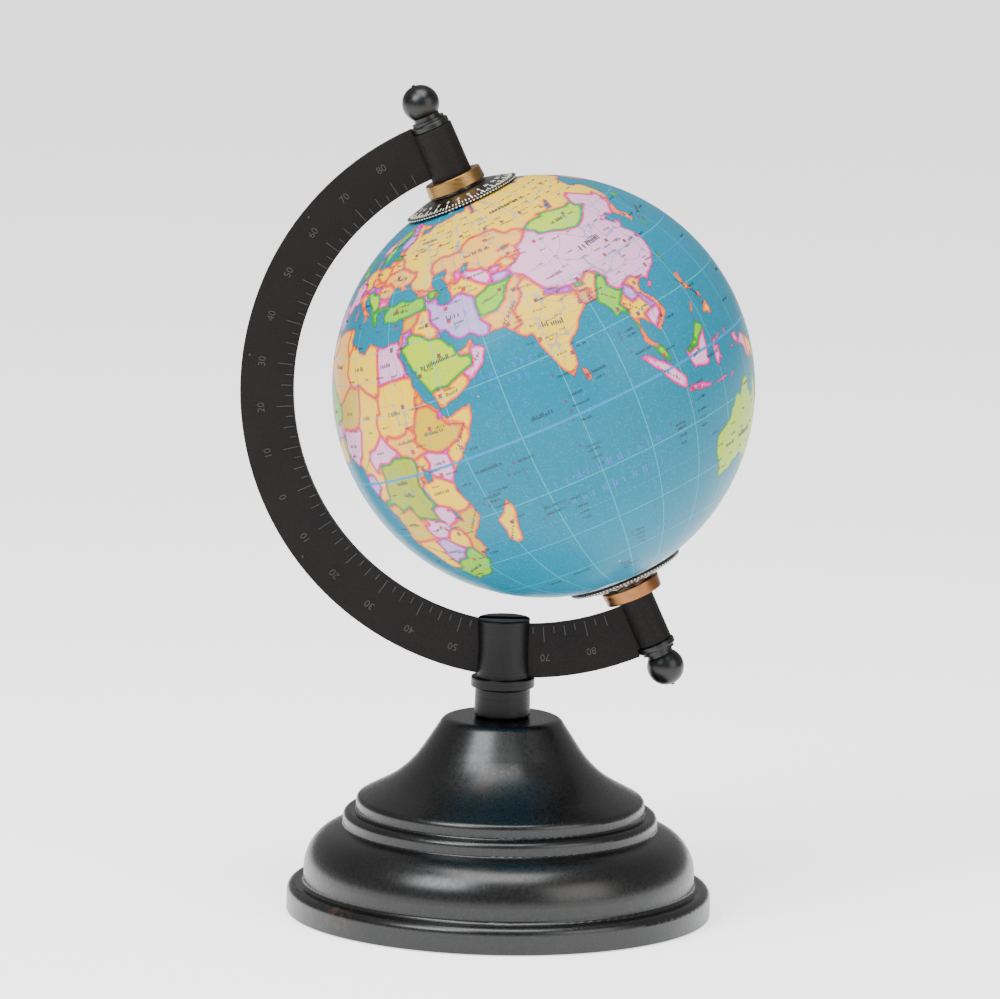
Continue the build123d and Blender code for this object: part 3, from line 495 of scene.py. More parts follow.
     (40.1, 49.5), (39.8, 47.8), (38, 46.7)],
    [(31.8, 52.1), (27, 51.6), (23.6, 51.5), (22.6, 49.3), (22.1, 48.4), (24.5, 47.8), (26.6, 48.3),
     (30.2, 46.2), (29.9, 45)],
    [(28.2, 56.1), (26.6, 55.8), (26, 55), (23.6, 53.9), (23.6, 51.5)], [(23.6, 53.9), (19.4, 54.6)],
    [(27.5, 57.6), (24, 57.9)], [(26.6, 55.8), (20.8, 56.2)], [(28.8, 43.8), (25, 43.7), (22.5, 44.4)],
    [(22.1, 48.4), (20.3, 46.2), (22.5, 44.4), (22.9, 42), (22.8, 41.3), (26.3, 41.7), (28.4, 42)],
    [(26.3, 41.7), (26, 40.5)], [(22.8, 41.3), (20.8, 40.9), (19.7, 39.6)],
    [(22.1, 48.4), (18.8, 47.8), (17.1, 48), (16.5, 46.9), (18.8, 45.9), (20.3, 46.2)],
    [(22.5, 49.2), (18.8, 49.5), (15, 51), (14.6, 52.5), (14.2, 54.3)],
    [(15, 51), (12.2, 50.3), (13.8, 48.8), (17.1, 48)],
    [(13.8, 48.8), (13, 47.6), (9.6, 47.5), (7.6, 47.6), (8.2, 49), (6.2, 49.5), (6, 50.8), (6, 51.8),
     (7.1, 53.8)],
    [(6.2, 49.5), (2.4, 51.3)], [(7.4, 43.4), (7, 45.9), (10.4, 46.8), (13.7, 46.5), (13.6, 45.2)],
    [(7.6, 47.6), (6, 46.3), (7, 45.9)], [(16.5, 46.9), (13.7, 46.5)], [(-2.1, 43.6), (3.5, 42.4)],
    [(-9.1, 41.9), (-6.6, 41.7), (-7, 38.5), (-7.4, 36.8)],
    [(-51.2, 4.6), (-60, 5.2), (-64, 2), (-67, 1), (-70, -4.2), (-73.5, -7.5), (-70.5, -11), (-65, -11),
     (-60, -16.2), (-58, -20), (-54.3, -24), (-57.6, -30.2), (-53.2, -34.2)],
    [(-58, -20), (-62.5, -22.2), (-67, -22.5), (-70, -33), (-71.8, -44), (-72.3, -50.5), (-68.2, -52.7)],
    [(-70.5, -11), (-69, -16), (-69.5, -17.5), (-70.8, -18.5)], [(-69.5, -17.5), (-67, -22.5)],
    [(-70, -4.2), (-75, -.1), (-80.6, -3.4)], [(-67, 1), (-67.5, 6.2), (-72.3, 8), (-71.2, 12.4)],
    [(-60, 5.2), (-60.3, 8.8)], [(-77.2, 9), (-78, 7)], [(-123.4, 49), (-95, 49), (-88, 48.2)],
    [(-85.6, 46.9), (-83.2, 45.7)], [(-82, 45.6), (-79, 43), (-75, 45), (-70.5, 45.5), (-66.6, 44.6)],
    [(-141, 70.2), (-141, 60.2), (-136, 59.5), (-130.2, 55), (-130.8, 54.2)],
    [(-117.6, 32.5), (-111, 31.3), (-106.5, 31.8), (-103, 29), (-99.5, 27.5), (-96.9, 25.8)],
    [(-92.2, 14), (-91, 17.5), (-88, 18.4)]]
# rivers and the thin lines of provinces, which only draw a line
rivers = [
    [(31.2, 31), (31.2, 30), (32.5, 26), (32.9, 24), (31, 21.5), (33.5, 19), (32.5, 15.6), (32.6, 12),
     (31.5, 9.5), (31.7, 4), (31.4, 2.3), (33, .5)],
    [(32.5, 15.6), (35, 11), (37.4, 11.9)],
    [(12.8, -6), (15.3, -4.4), (17.7, -.5), (21, 2), (25.2, .5), (26, -5), (28, -9)],
    [(6, 5), (6.7, 7.8), (3.5, 11.8), (0, 16.2), (-3.5, 16), (-8, 12.6)],
    [(35.8, -18.6), (33.5, -16.3), (30.4, -15.6)], [(25.3, -17.8), (23, -14), (24, -11.5)],
    [(17.2, -28.6), (20, -28.6), (25, -30), (28.5, -29.5)],
    [(48, 30.2), (46, 32), (43.5, 34.5), (42.5, 37), (40, 38.5)],
    [(47.4, 31), (44, 33), (40.3, 35), (38.5, 37.5)],
    [(67.8, 24.4), (68.5, 27), (71, 29.5), (72.5, 33.5), (76, 34.5)],
    [(89, 23), (88, 24.5), (83, 25.4), (78.5, 28), (78.5, 30)],
    [(90, 24), (90, 25.8), (95, 27.8), (95, 29.5), (88, 29.3), (82.5, 30.2)],
    [(81.6, 17), (78, 18.7), (74, 20)], [(80.2, 16), (77, 16.3), (74.6, 17.5)],
    [(121.2, 31.5), (118, 31.5), (114.3, 30.5), (111, 30), (106.5, 29.5), (104, 28.5), (100.5, 26.5),
     (99, 29), (97, 33), (92, 34)],
    [(118.6, 37.5), (114, 35), (110.3, 34.7), (110.5, 39.5), (107, 40.8), (104, 37), (101, 35.5), (97, 35)],
    [(106.5, 10.6), (105, 12), (105.8, 15), (104, 17.5), (101, 20), (99.5, 25), (97, 31)],
    [(95, 16.6), (95.2, 20), (96.5, 24)], [(134.8, 48.4), (137, 50), (140.3, 52.7)],
    [(127, 72.5), (124, 68), (129.5, 63.5), (120, 60.5), (108, 57.5), (106.5, 53.8)],
    [(83, 72), (87, 67), (89, 61), (92, 56), (94, 52)],
    [(71.6, 66.4), (66, 65), (68.5, 61), (76.5, 61), (83, 56), (83.5, 53)],
    [(68.5, 61), (69, 57), (75, 54), (80, 50.5), (85, 48)],
    [(47.6, 46), (46, 48.5), (48, 52), (49.5, 55.8), (44, 56.3), (38, 57.5), (33, 57)],
    [(51.8, 47.1), (51.5, 51), (58, 51.5), (59, 55)], [(32.5, 46.7), (35, 48), (31, 50.5), (31, 55)],
    [(29.2, 45.3), (26, 44), (21, 44.8), (19, 47.5), (13, 48.5), (9, 48)],
    [(61.8, 46), (66, 44), (69, 41), (73, 41)], [(59.2, 43.4), (62, 40.5), (66, 37.5)],
    [(139.6, -35.6), (142, -34), (147, -36)], [(142, -34), (145, -30), (149, -28)],
    [(129, -15.2), (129, -31.4)], [(138, -16.8), (138, -26), (129, -26)],
    [(138, -26), (141, -26), (141, -37.8)], [(141, -29), (149, -29), (153.2, -28.4)],
    [(97, 42.6), (94, 39), (90, 36), (80, 36)], [(90, 36), (97, 32.5), (98.5, 28)],
    [(97, 42.5), (103, 38), (103, 35.5), (101, 33), (97.5, 32.5)],
    [(105, 41.7), (107, 37.5), (111, 40), (114, 40.5), (120, 42), (123, 46), (121, 50)],
    [(110.5, 34.8), (106, 32.5), (108.5, 30), (109, 27), (104, 26), (98.5, 26)],
    [(114, 40.5), (114, 36), (110.5, 34.8)], [(114, 36), (119.3, 35.2)],
    [(116, 34), (118, 31), (113.5, 29.8), (109, 30)], [(118, 31), (118, 24.5), (114, 23)],
    [(109, 27), (113.8, 26), (118, 27.5)], [(70, 24.5), (76, 24), (78.5, 27), (77, 30)],
    [(76, 24), (74, 21.5), (80.5, 21.5), (80.5, 18.5), (77.5, 18), (74.5, 15.5)],
    [(77.5, 18), (77, 13), (80, 13.5)], [(80.5, 21.5), (83.5, 24), (84, 27)], [(84, 22), (86.8, 21.4)],
    [(77, 13), (76.6, 10)], [(80.5, 18.5), (84, 19)], [(60, 51), (61, 56), (60, 62), (66, 66)],
    [(71, 54.3), (72, 58), (77, 61), (86, 61.5), (85, 66), (82, 71)],
    [(88, 50), (89, 56), (96, 57), (105, 60), (106, 66), (107, 72)],
    [(98, 52), (102, 57), (109, 58), (117, 60), (120, 55), (117, 53)],
    [(120, 55), (131, 55.5), (133, 60), (140, 61), (150, 62), (161, 66), (160, 69)],
    [(131, 55.5), (131, 48.5)], [(150, 62), (154, 60)],
    [(45, 50.5), (50, 54), (56, 56), (56, 60), (60, 62)], [(40, 55), (45, 58), (50, 61), (56, 60)],
    [(33, 57), (38, 60), (42, 64)], [(45, 58), (40, 60)], [(55, 51), (57, 47), (58, 45.6)],
    [(61, 51), (66, 47), (66, 43.5)], [(71, 54), (73, 50), (68, 47.5)], [(73, 50), (75, 46.2)],
    [(60, 50), (70, 50)], [(66, 30), (68, 28), (68, 25)], [(70, 28), (71, 32), (70, 33)],
    [(53, 29), (57, 32), (60, 33)], [(49, 35), (53, 34), (53, 30)], [(57, 32), (55, 36.5)],
    [(30, 12), (30, 17), (25, 17)], [(30, 12), (33.5, 12)], [(20, -1), (24, -4), (20, -7)],
    [(24, -4), (28, -3)], [(38, 9), (42, 7)], [(38, 9), (37, 5)], [(-102, 49), (-102, 60)],
    [(-110, 49), (-110, 60)], [(-120, 49), (-120, 60)], [(-95, 49), (-95, 59)], [(-137, 60), (-95, 60)],
    [(-104, 49), (-104, 41), (-102, 37), (-103, 32)], [(-111, 49), (-111, 41), (-114, 37), (-114, 33)],
    [(-94, 49), (-91, 43), (-91, 36), (-91, 30)], [(-124, 42), (-111, 42)], [(-114, 37), (-80, 37)],
    [(-50, -1), (-56, -2.5), (-62, -3.5), (-68, -3)], [(-58, -8), (-50, -10), (-46, -15), (-42, -14)],
    [(-50, -10), (-53, -18), (-47, -20), (-42, -20)]]
print("map drawn:", len(coasts), "coasts,", len(borders), "borders,", len(rivers), "rivers and provinces")

inkShades = {
    "yellow": (250, 214, 16), "peach": (250, 204, 150), "lime": (186, 206, 56), "pink": (248, 208, 230),
    "lilac": (204, 188, 222), "olive": (212, 184, 20), "green": (150, 192, 70), "ice": (232, 240, 246),
    "red": (222, 74, 44), "purple": (134, 88, 160), "moss": (170, 176, 60), "sea": (36, 124, 142)}
bandShades = {
    "yellow": (240, 140, 30), "peach": (240, 140, 60), "lime": (70, 156, 56), "pink": (232, 96, 168),
    "lilac": (196, 120, 190), "olive": (226, 130, 20), "green": (52, 146, 62), "ice": (190, 216, 236),
    "red": (200, 50, 30), "purple": (110, 70, 140), "moss": (76, 146, 60), "sea": (36, 124, 142)}
lands = {
    "yellow": [
        (60, 60), (100, 65), (130, 65), (45, 58), (150, 65), (20.5, 54.7), (-175, 66), (43, 35), (77, 22),
        (16, 28), (30, 17), (49.3, 9.5), (31.5, 1.5), (101, 16), (108, 14), (59, 39.5), (75, 41.5),
        (47.5, 15), (54.5, 23.5), (13, 6), (16, 0), (34.5, -6), (30, -19), (18, -22), (127.5, 36),
        (121, 16), (125, 8), (125, 11.5), (46.5, -19), (145, -6), (150, -5.95), (10, 51), (20, 52),
        (-4, 40), (-103, 40), (-150, 65), (-55, -10), (24, 58.7), (8.5, -1), (28.0, 53.5), (10, 36),
        (35.5, 15.8), (-10.5, 11), (119, 10), (118.5, 9.9), (29.9, -2)],
    "peach": [
        (68, 48), (70, 29), (3, 28), (30, 7.5), (32, 49), (25, 46), (-62, 55), (-100, 60), (-65, -35),
        (12.5, 42.8), (-1, 8), (42, 42.2), (15, 49.8), (-75, 4), (-5, 33)],
    "green": [
        (35, 39), (66, 34), (96, 22), (24, -32), (-3, 17), (102, 4), (115, 3.8), (139, 36), (132.5, 33.5),
        (131, 32.3), (143, 43.5), (16, 64), (-3, 52.5), (-75, -10), (-8, 53), (26, 57), (47, 40.5),
        (-65, -17), (120.9, 23.8), (22, 39.5), (1.6, 7), (52.9, 42.2), (143.2, 49.0), (127.2, 40.3),
        (28.0, -29.5), (170.5, -44), (175.5, -39)],
    "lime": [
        (45, 24), (104, 46.5), (134, -25), (146.5, -42), (-102, 23), (-5, 56.5), (18, 44.5), (45, 65.5)],
    "pink": [
        (105, 33), (109.7, 19.2), (60.5, 42.8), (66, 39), (29, 27), (57, 21), (8, 10), (21, 7), (38, 0),
        (26, -14), (106, 13), (101, 0), (110, -7.3), (113, 0), (120, -2), (119, -8.6), (125.5, -9.2),
        (128, .6), (129.2, -3.4), (138, -4.5), (9, 61), (2, 47), (26, 42.7), (7, 12.5), (-66, 7.5),
        (-79, 22), (-71, 19), (33.3, 35), (34.6, -13.2), (45, 40), (-88, 15), (-71, -28), (8.9, 9),
        (9, 40.2), (51.2, 25.2)],
    "lilac": [
        (54, 33), (70.5, 38.6), (84, 28.2), (102.5, 19.8), (18, 13), (24, -22.5), (28, 64.5), (12, -1.5),
        (12.2, 47.3), (19, 47), (-8, 39.5), (-58, 4), (36.8, 31), (-57, -33), (47.8, 29.4), (43, 12),
        (-13, 20), (-2, 12.8)],
    "moss": [(25, -2), (90.5, 27.3), (22, 56.5), (6.5, 46.9), (-80, -1)],
    "olive": [
        (39.5, 10), (80.7, 7.6), (10, 18), (38, -14), (17, -13), (90.2, 23.8), (38, 35), (39.0, 15.6),
        (35.1, 31.7), (34.9, 30.6), (-12, 7.6), (-65, -50), (24.5, 55.3), (39.3, 6), (15.2, 41.1)],
    "ice": [
        (-40, 72), (0, -80), (90, -75), (-120, -80), (-18, 65), (-72, 70), (-75, 80), (-110, 71),
        (20, 79), (57, 73), (100, 79.7), (-56, 48.5), (69.5, -49.4), (-60, -66), (53.9, 12.5)],
}
towns = [
    (31.2, 29.6), (32.6, 15.9), (38.7, 9.3), (36.8, -1.6), (39, -6.5), (45, 3), (44.3, 15.6),
    (46.7, 24.7), (40, 21.5), (44.4, 33), (51.4, 35.5), (51.7, 32), (69, 34.8), (72.8, 33.2),
    (67.4, 25.6), (77.2, 28.3), (73.6, 19.2), (87.8, 23.3), (79.6, 13.4), (80.4, 7), (91, 23.2),
    (96.1, 17.6), (100.8, 14.6), (101.9, 3.4), (107, -6.9), (121, 15.1), (105.4, 21.3), (106.6, 11.7),
    (116.2, 39.7), (120.6, 31), (113.2, 23.7), (104, 30.8), (114.4, 31.4), (108.9, 34), (102.4, 36.2),
    (87.4, 43.7), (91.1, 28.6), (106.9, 47.6), (71.2, 51.4), (76.8, 43.8), (69, 41.9), (58.4, 38.9),
    (37.6, 55.7), (50.6, 56.5), (61.8, 57), (73.8, 55.8), (82.6, 55.6), (93, 55.4), (103.6, 53.6),
    (129.4, 61.8), (133, 44.2), (127.3, 37.4), (139.2, 36.3), (30.6, 49.6), (33, 39.4), (48.6, 40.4),
    (19.2, -33.6), (27.6, -26.6), (30.8, -17.6), (28.2, -15.2), (33, -25), (47.3, -18.8), (13.8, -9.3),
    (32.4, .9), (31.6, 5.4), (116.3, -31.7), (131, -13.2), (138.6, -34.2), (150.4, -33.6), (145.2, -37.4),
    (3.4, 7.2), (13.6, 32.3), (2.2, 48.8), (-3.7, 40.4), (13.2, 52.4), (12.8, 42.2), (-77, 39.6),
    (-99, 19.4), (-47.6, -15.8), (-59, -34.6), (-74.2, 4.6), (-106, 52), (-118, 34.6), (-95.5, 30.4),
    (-43.6, -22.4), (-77, -11.6)]
islets = [
    (73, 4), (73.3, 1.5), (73, -.6), (72.6, 10.6), (92.8, 12.4), (92.8, 11.2), (93.7, 7.6), (72, -7),
    (55.5, -4.6), (53, -7), (46.4, -9.4), (43.4, -11.7), (44.6, -12.6), (57.6, -20.3), (55.5, -21.3),
    (63.4, -19.7), (96.9, -12.1), (105.6, -10.5), (77.6, -37.8), (77.5, -38.8), (51, -46.4),
    (37.9, -46.9), (73.5, -53), (-24, 15), (-24.4, 16.4), (-16, 28.4), (-14, 28.6), (-28, 38.6),
    (144.8, 13.4), (134.5, 7.4), (158.2, 7), (166.9, -.5), (168, -16), (178, -17.8), (-171, -14),
    (-175, -21), (-149.5, -17.6), (-156, 20), (-158, 21.5), (165, -21), (160, -9), (-109.3, -27.1),
    (-61, 14), (-61.5, 16), (-77, 18), (-91, -.6), (-5.7, -16), (-37, -54.4), (-59, -51.7)]
globePrint = {
    "grid": 1.25, "lastLatitude": 85.936, "stretch": 4.8, "lowered": 2.7, "turned": 159.8, "spread": 7.9,
    "spreadFrom": 31.7, "step": .7, "band": .9, "townHalf": .42, "isletHalf": .24, "farthest": 2.5,
    "quickGrid": 2.5}


def printedLatitude(latitude):
    return (latitude + globePrint["stretch"] * math.sin(math.radians(2 * latitude))
            - globePrint["lowered"] * math.cos(math.radians(latitude)) ** 2)


def onGlobe(longitude, latitude, radius=1.0):
    spread = globePrint["spread"] * math.sin(math.radians(longitude - globePrint["spreadFrom"]))
    east = math.radians(longitude + spread - globePrint["turned"])
    north = math.radians(printedLatitude(latitude))
    ring = math.cos(north)
    return Vector((ring * math.cos(east), ring * math.sin(east), math.sin(north))) * radius


def roughened(points, closed, amount, source):
    out = []
    pairs = list(zip(points, points[1:] + points[:1] if closed else points[1:]))
    for (x, y), (u, v) in pairs:
        run = [(x, y), (u, v)]
        while True:
            length = math.dist(run[0], run[1])
            if length < globePrint["step"] * 1.6:
                break
            finer = [run[0]]
            for (a, b), (c, d) in zip(run, run[1:]):
                onSide = abs(a) == 180 and a == c
                bend = 0 if onSide else source.uniform(-amount, amount) * length
                finer += [((a + c) / 2 - (d - b) / length * bend, (b + d) / 2 + (c - a) / length * bend),
                    (c, d)]
            run = finer
        out += run[:-1]
    return out + ([] if closed else [points[-1]])


mapPoints, mapLines, lineKinds = [], [], []


def drawLine(points, kind, closed=False):
    start = len(mapPoints)
    mapPoints.extend(Vector(p) for p in points)
    count = len(points)
    for i in range(count if closed else count - 1):
        mapLines.append((start + i, start + (i + 1) % count))
        lineKinds.append(kind)


edgeLatitude = globePrint["lastLatitude"]
rows = 2 * round(edgeLatitude / globePrint["grid"])
for row in range(rows + 1):
    latitude = 0.0 if 2 * row == rows else -edgeLatitude + 2 * edgeLatitude * row / rows
    count = 4 * max(12, round(90 / globePrint["grid"] * math.cos(math.radians(latitude))))
    shift = .5 if row % 2 and 0 < row < rows and 2 * row != rows else 0
    line = [(-180, latitude)] + [(-180 + 360 * (i + shift) / count,
        latitude) for i in range(0 if shift else 1, count)] + [(180, latitude)]
    if 2 * row == rows:
        drawLine(line, "equator")
    else:
        mapPoints.extend(Vector(p) for p in line)
wander = random.Random(5)
for name, points in coasts.items():
    drawLine(roughened(points, True, .09, wander), "coast", True)
drawLine(roughened(antarctica, False, .08, wander), "coast")
for points in borders:
    ends = []
    for last, before in ((points[0], points[1]), (points[-1], points[-2])):
        reach = .5 / math.dist(last, before)
        ends.append((last[0] + (last[0] - before[0]) * reach, last[1] + (last[1] - before[1]) * reach))
    drawLine(roughened([ends[0]] + points + [ends[1]], False, .05, wander), "border")
for points in rivers:
    drawLine(roughened(points, False, .08, wander), "river")
squares = [(x, y, globePrint["townHalf"]) for x, y in towns] + [(x, y, globePrint["isletHalf"]) for x,
    y in islets]
for x, y, half in squares:
    wide = half / max(.3, math.cos(math.radians(y)))
    drawLine([(x - wide, y - half), (x + wide, y - half), (x + wide, y + half), (x - wide, y + half)],
        "dot", True)
# nothing may cross the sides of the flat map
for point in mapPoints:
    point.x = min(180.0, max(-180.0, point.x))
flatPoints, flatEdges, flatFaces, _, fromLine, _ = delaunay_2d_cdt(mapPoints, mapLines, [], 0, 1e-5)
print("map triangulated:", len(flatPoints), "points,", len(flatFaces), "faces")

sheet = bmesh.new()
sheetVerts = [sheet.verts.new((p.x, p.y, 0)) for p in flatPoints]
for face in flatFaces:
    sheet.faces.new([sheetVerts[i] for i in face])
sheet.verts.ensure_lookup_table()
sheet.normal_update()
for face in sheet.faces:
    if face.normal.z < 0:
        face.normal_flip()
landLayer = sheet.faces.layers.int.new("land")
inkLayer = sheet.faces.layers.int.new("ink")
riverLayer = sheet.edges.layers.int.new("river")
inks = list(inkShades)
walls = set()
for pair, lines in zip(flatEdges, fromLine):
    edge = sheet.edges.get((sheetVerts[pair[0]], sheetVerts[pair[1]]))
    kinds = {lineKinds[i] for i in lines if i < len(lineKinds)}
    if edge and kinds & {"coast", "border", "dot"}:
        walls.add(edge)
    elif edge and "river" in kinds:
        edge[riverLayer] = 1
# seas are filled first, then towns and islets, then each country, from a point inside it
sheet.faces.ensure_lookup_table()
finder = BVHTree.FromBMesh(sheet)
seeds = [(x, y, "sea") for x, y in [(70, -30), (-150, 0), (18, 35), (38, 20.5), (52.5, 26.3), (19.3, 58),
    (5, 40.5), (34, 43.5), (51.5, 39), (60, 45),
                                     (33, -1), (30.2, -6.8), (34.5, -12), (107.5, 53.5), (77, 46.1),
                                     (-88, 47.8), (-87, 43.5)]]
seeds += [(x, y, "red") for x, y in towns] + [(x, y, "purple") for x, y in islets]
seeds += [(x, y, shade) for shade, spots in lands.items() for x, y in spots]
for number, (x, y, shade) in enumerate(seeds, 1):
    hit = finder.ray_cast(Vector((x + .011, y + .007, 1)), Vector((0, 0, -1)))[2]
    heap = [sheet.faces[hit]]
    if heap[0][landLayer]:
        continue
    while heap:
        face = heap.pop()
        if face[landLayer]:
            continue
        face[landLayer] = number
        face[inkLayer] = inks.index(shade)
        for edge in face.edges:
            if edge not in walls:
                heap.extend(other for other in edge.link_faces if not other[landLayer])
# slivers where borders meet take the land beside them
bare = [face for face in sheet.faces if not face[landLayer]]
for _ in range(12):
    for face in bare:
        if not face[landLayer]:
            beside = [other for edge in face.edges for other in edge.link_faces
                      if other[landLayer] and inks[other[inkLayer]] not in ("red", "purple", "sea")]
            if beside:
                face[landLayer], face[inkLayer] = beside[0][landLayer], beside[0][inkLayer]
for face in bare:
    if not face[landLayer]:
        face[inkLayer] = inks.index("sea")
dotInks = {inks.index("red"), inks.index("purple")}


def parts(edge):
    return {(face[landLayer], face[inkLayer]) for face in edge.link_faces}


printedEdges = [edge for edge in sheet.edges if len(parts(edge)) == 2]
onPrinted = {vert for edge in printedEdges for vert in edge.verts}
keep = set(printedEdges)
across = [edge for edge in sheet.edges if edge not in keep and not edge[riverLayer]
          and edge.verts[0] in onPrinted and edge.verts[1] in onPrinted]
bmesh.ops.subdivide_edges(sheet, edges=across, cuts=1)
bmesh.ops.triangulate(sheet, faces=[face for face in sheet.faces if len(face.verts) > 3])
radius = globeSize["radius"]


def alongLines(edges):
    spots = []
    for edge in edges:
        one, two = edge.verts[0].co, edge.verts[1].co
        pieces = max(1, math.ceil((one - two).length / .25))
        spots += [onGlobe(*one.lerp(two, i / pieces).xy, radius / mm) for i in range(pieces + 1)]
    tree = kdtree.KDTree(len(spots))
    for i, spot in enumerate(spots):
        tree.insert(spot, i)
    tree.balance()
    return tree


printedEdges = [edge for edge in sheet.edges if len(parts(edge)) == 2]
countryEdges = [edge for edge in printedEdges if not any(shade in dotInks for _, shade in parts(edge))]
distanceTrees = {"bandDistance": alongLines(countryEdges), "lineDistance": alongLines(printedEdges),
                 "riverDistance": alongLines([edge for edge in sheet.edges if edge[riverLayer]])}
distanceLayers = {name: sheet.verts.layers.float.new(name) for name in distanceTrees}
fillLayer = sheet.loops.layers.float_color.new("printFill")
bandLayer = sheet.loops.layers.float_color.new("printBand")
mapLayer = sheet.loops.layers.uv.new("mapCoords")
for vert in sheet.verts:
    place = onGlobe(vert.co.x, vert.co.y, radius / mm)
    for name, tree in distanceTrees.items():
        vert[distanceLayers[name]] = min(globePrint["farthest"], tree.find(place)[2])
for face in sheet.faces:
    shade = inks[face[inkLayer]]
    fill, band = ink(*inkShades[shade]), ink(*bandShades[shade])
    for loop in face.loops:
        loop[fillLayer], loop[bandLayer] = fill, band
        loop[mapLayer].uv = (loop.vert.co.x / 360 + .5, loop.vert.co.y / 180 + .5)
print("map coloured:", len(sheet.faces), "faces,", len(countryEdges), "border edges")


def keepPiece(shape, name, body, standsFor=(), materials=(), sharp=35):
    mesh = bpy.data.meshes.new(name)
    shape.to_mesh(mesh)
    shape.free()
    for material in materials:
        mesh.materials.append(material)
    mesh.shade_smooth()
    mesh.set_sharp_from_angle(angle=math.radians(sharp))
    piece = bpy.data.objects.new(name, mesh)
    bpy.context.scene.collection.objects.link(piece)
    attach(piece, body)
    if standsFor:
        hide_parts(*standsFor)
    return piece


# widths of the printed lines in mm, as where the ink fades out and where it is full
lineLook = {
    "netHalfStep": 7.5, "net": (.17, .07), "equator": (.42, .3), "tropic": 23.4,
    "tropicWidth": (.16, .08), "dash": (.3, .36), "river": (.2, .05), "border": (.2, .06),
    "goreFrom": 183, "goreHalfStep": 15, "gore": (.12, .03)}


def globeInk():
    material, tree, bsdf = newMaterial("lacqueredMapPaper", roughness=.42, coat_weight=.02,
        coat_roughness=.25, specular_ior_level=.14)
    read = lambda name, out: add(tree, "ShaderNodeAttribute", attribute_name=name).outputs[out]
    fill, band = read("printFill", "Color"), read("printBand", "Color")
    bandAt, lineAt, riverAt = (read(name, "Fac") for name in ("bandDistance", "lineDistance",
        "riverDistance"))
    coords = add(tree, "ShaderNodeUVMap", uv_map="mapCoords").outputs[0]
    apart = add(tree, "ShaderNodeSeparateXYZ", {0: coords})
    east = calc(tree, "MULTIPLY_ADD", apart.outputs[0], 360, -180)
    north = calc(tree, "MULTIPLY_ADD", apart.outputs[1], 180, -90)
    where = add(tree, "ShaderNodeTexCoord").outputs["Object"]
    paper = add(tree, "ShaderNodeTexNoise", {"Vector": where, "Scale": 1500, "Detail": 3}).outputs[0]
    cloud = add(tree, "ShaderNodeTexNoise", {"Vector": where, "Scale": 26, "Detail": 4}).outputs[0]
    color = mixColor(tree, between(tree, bandAt, globePrint["band"], globePrint["band"] / 2), fill, band)
    # graticule every 15 degrees, a broad equator, dashed tropics and the gores' seams
    shrink = calc(tree, "COSINE", calc(tree, "RADIANS", north))
    perDegree = radius / mm * math.radians(1)
    acrossMeridian = calc(tree, "MULTIPLY", calc(tree, "PINGPONG", calc(tree, "ADD", east, 180),
        lineLook["netHalfStep"]), calc(tree, "MULTIPLY", shrink, perDegree))
    acrossParallel = calc(tree, "MULTIPLY", calc(tree, "PINGPONG", calc(tree, "ADD", north, 90),
        lineLook["netHalfStep"]), perDegree)
    net = calc(tree, "MINIMUM", acrossMeridian, acrossParallel)
    color = mixColor(tree, between(tree, net, *lineLook["net"], 0, .75), color, ink(130, 190, 200))
    fromEquator = calc(tree, "MULTIPLY", calc(tree, "ABSOLUTE", north), perDegree)
    dash = between(tree, calc(tree, "PINGPONG", calc(tree, "ADD", east, 180), .75), *lineLook["dash"])
    color = mixColor(tree, between(tree, fromEquator, *lineLook["equator"], 0, .9), color,
        paint(20, 120, 170))
    fromTropic = calc(tree, "MULTIPLY", calc(tree, "ABSOLUTE",
        calc(tree, "SUBTRACT", calc(tree, "ABSOLUTE", north), lineLook["tropic"])), perDegree)
    color = mixColor(tree, calc(tree, "MULTIPLY", between(tree, fromTropic, *lineLook["tropicWidth"], 0,
        .8), dash), color, paint(40, 120, 190))
    color = mixColor(tree, between(tree, riverAt, *lineLook["river"], 0, .6), color, paint(96, 110, 140))
    color = mixColor(tree, between(tree, lineAt, *lineLook["border"], 0, .8), color, paint(70, 60, 72))
    gore = calc(tree, "MULTIPLY", calc(tree, "PINGPONG", calc(tree, "ADD", east, lineLook["goreFrom"]),
        lineLook["goreHalfStep"]), calc(tree, "MULTIPLY", shrink, perDegree))
    color = mixColor(tree, between(tree, gore, *lineLook["gore"], 0, .45), color, paint(60, 60, 70))
    color = mixColor(tree, between(tree, cloud, .35, .7, 0, .12), color, paint(30, 120, 160))
    color = mixColor(tree, between(tree, paper, .5, .75, 0, .035), color, paint(255, 255, 255))
    tree.links.new(color, bsdf.inputs["Base Color"])
    tree.links.new(between(tree, paper, .3, .7, .28, .42), bsdf.inputs["Roughness"])
    height = calc(tree, "SUBTRACT", calc(tree, "MULTIPLY", paper, .25), between(tree, gore, .3, 0))
    bump = add(tree, "ShaderNodeBump", {"Height": height, "Strength": .25, "Distance": .00008})
    tree.links.new(bump.outputs[0], bsdf.inputs["Normal"])
    return material


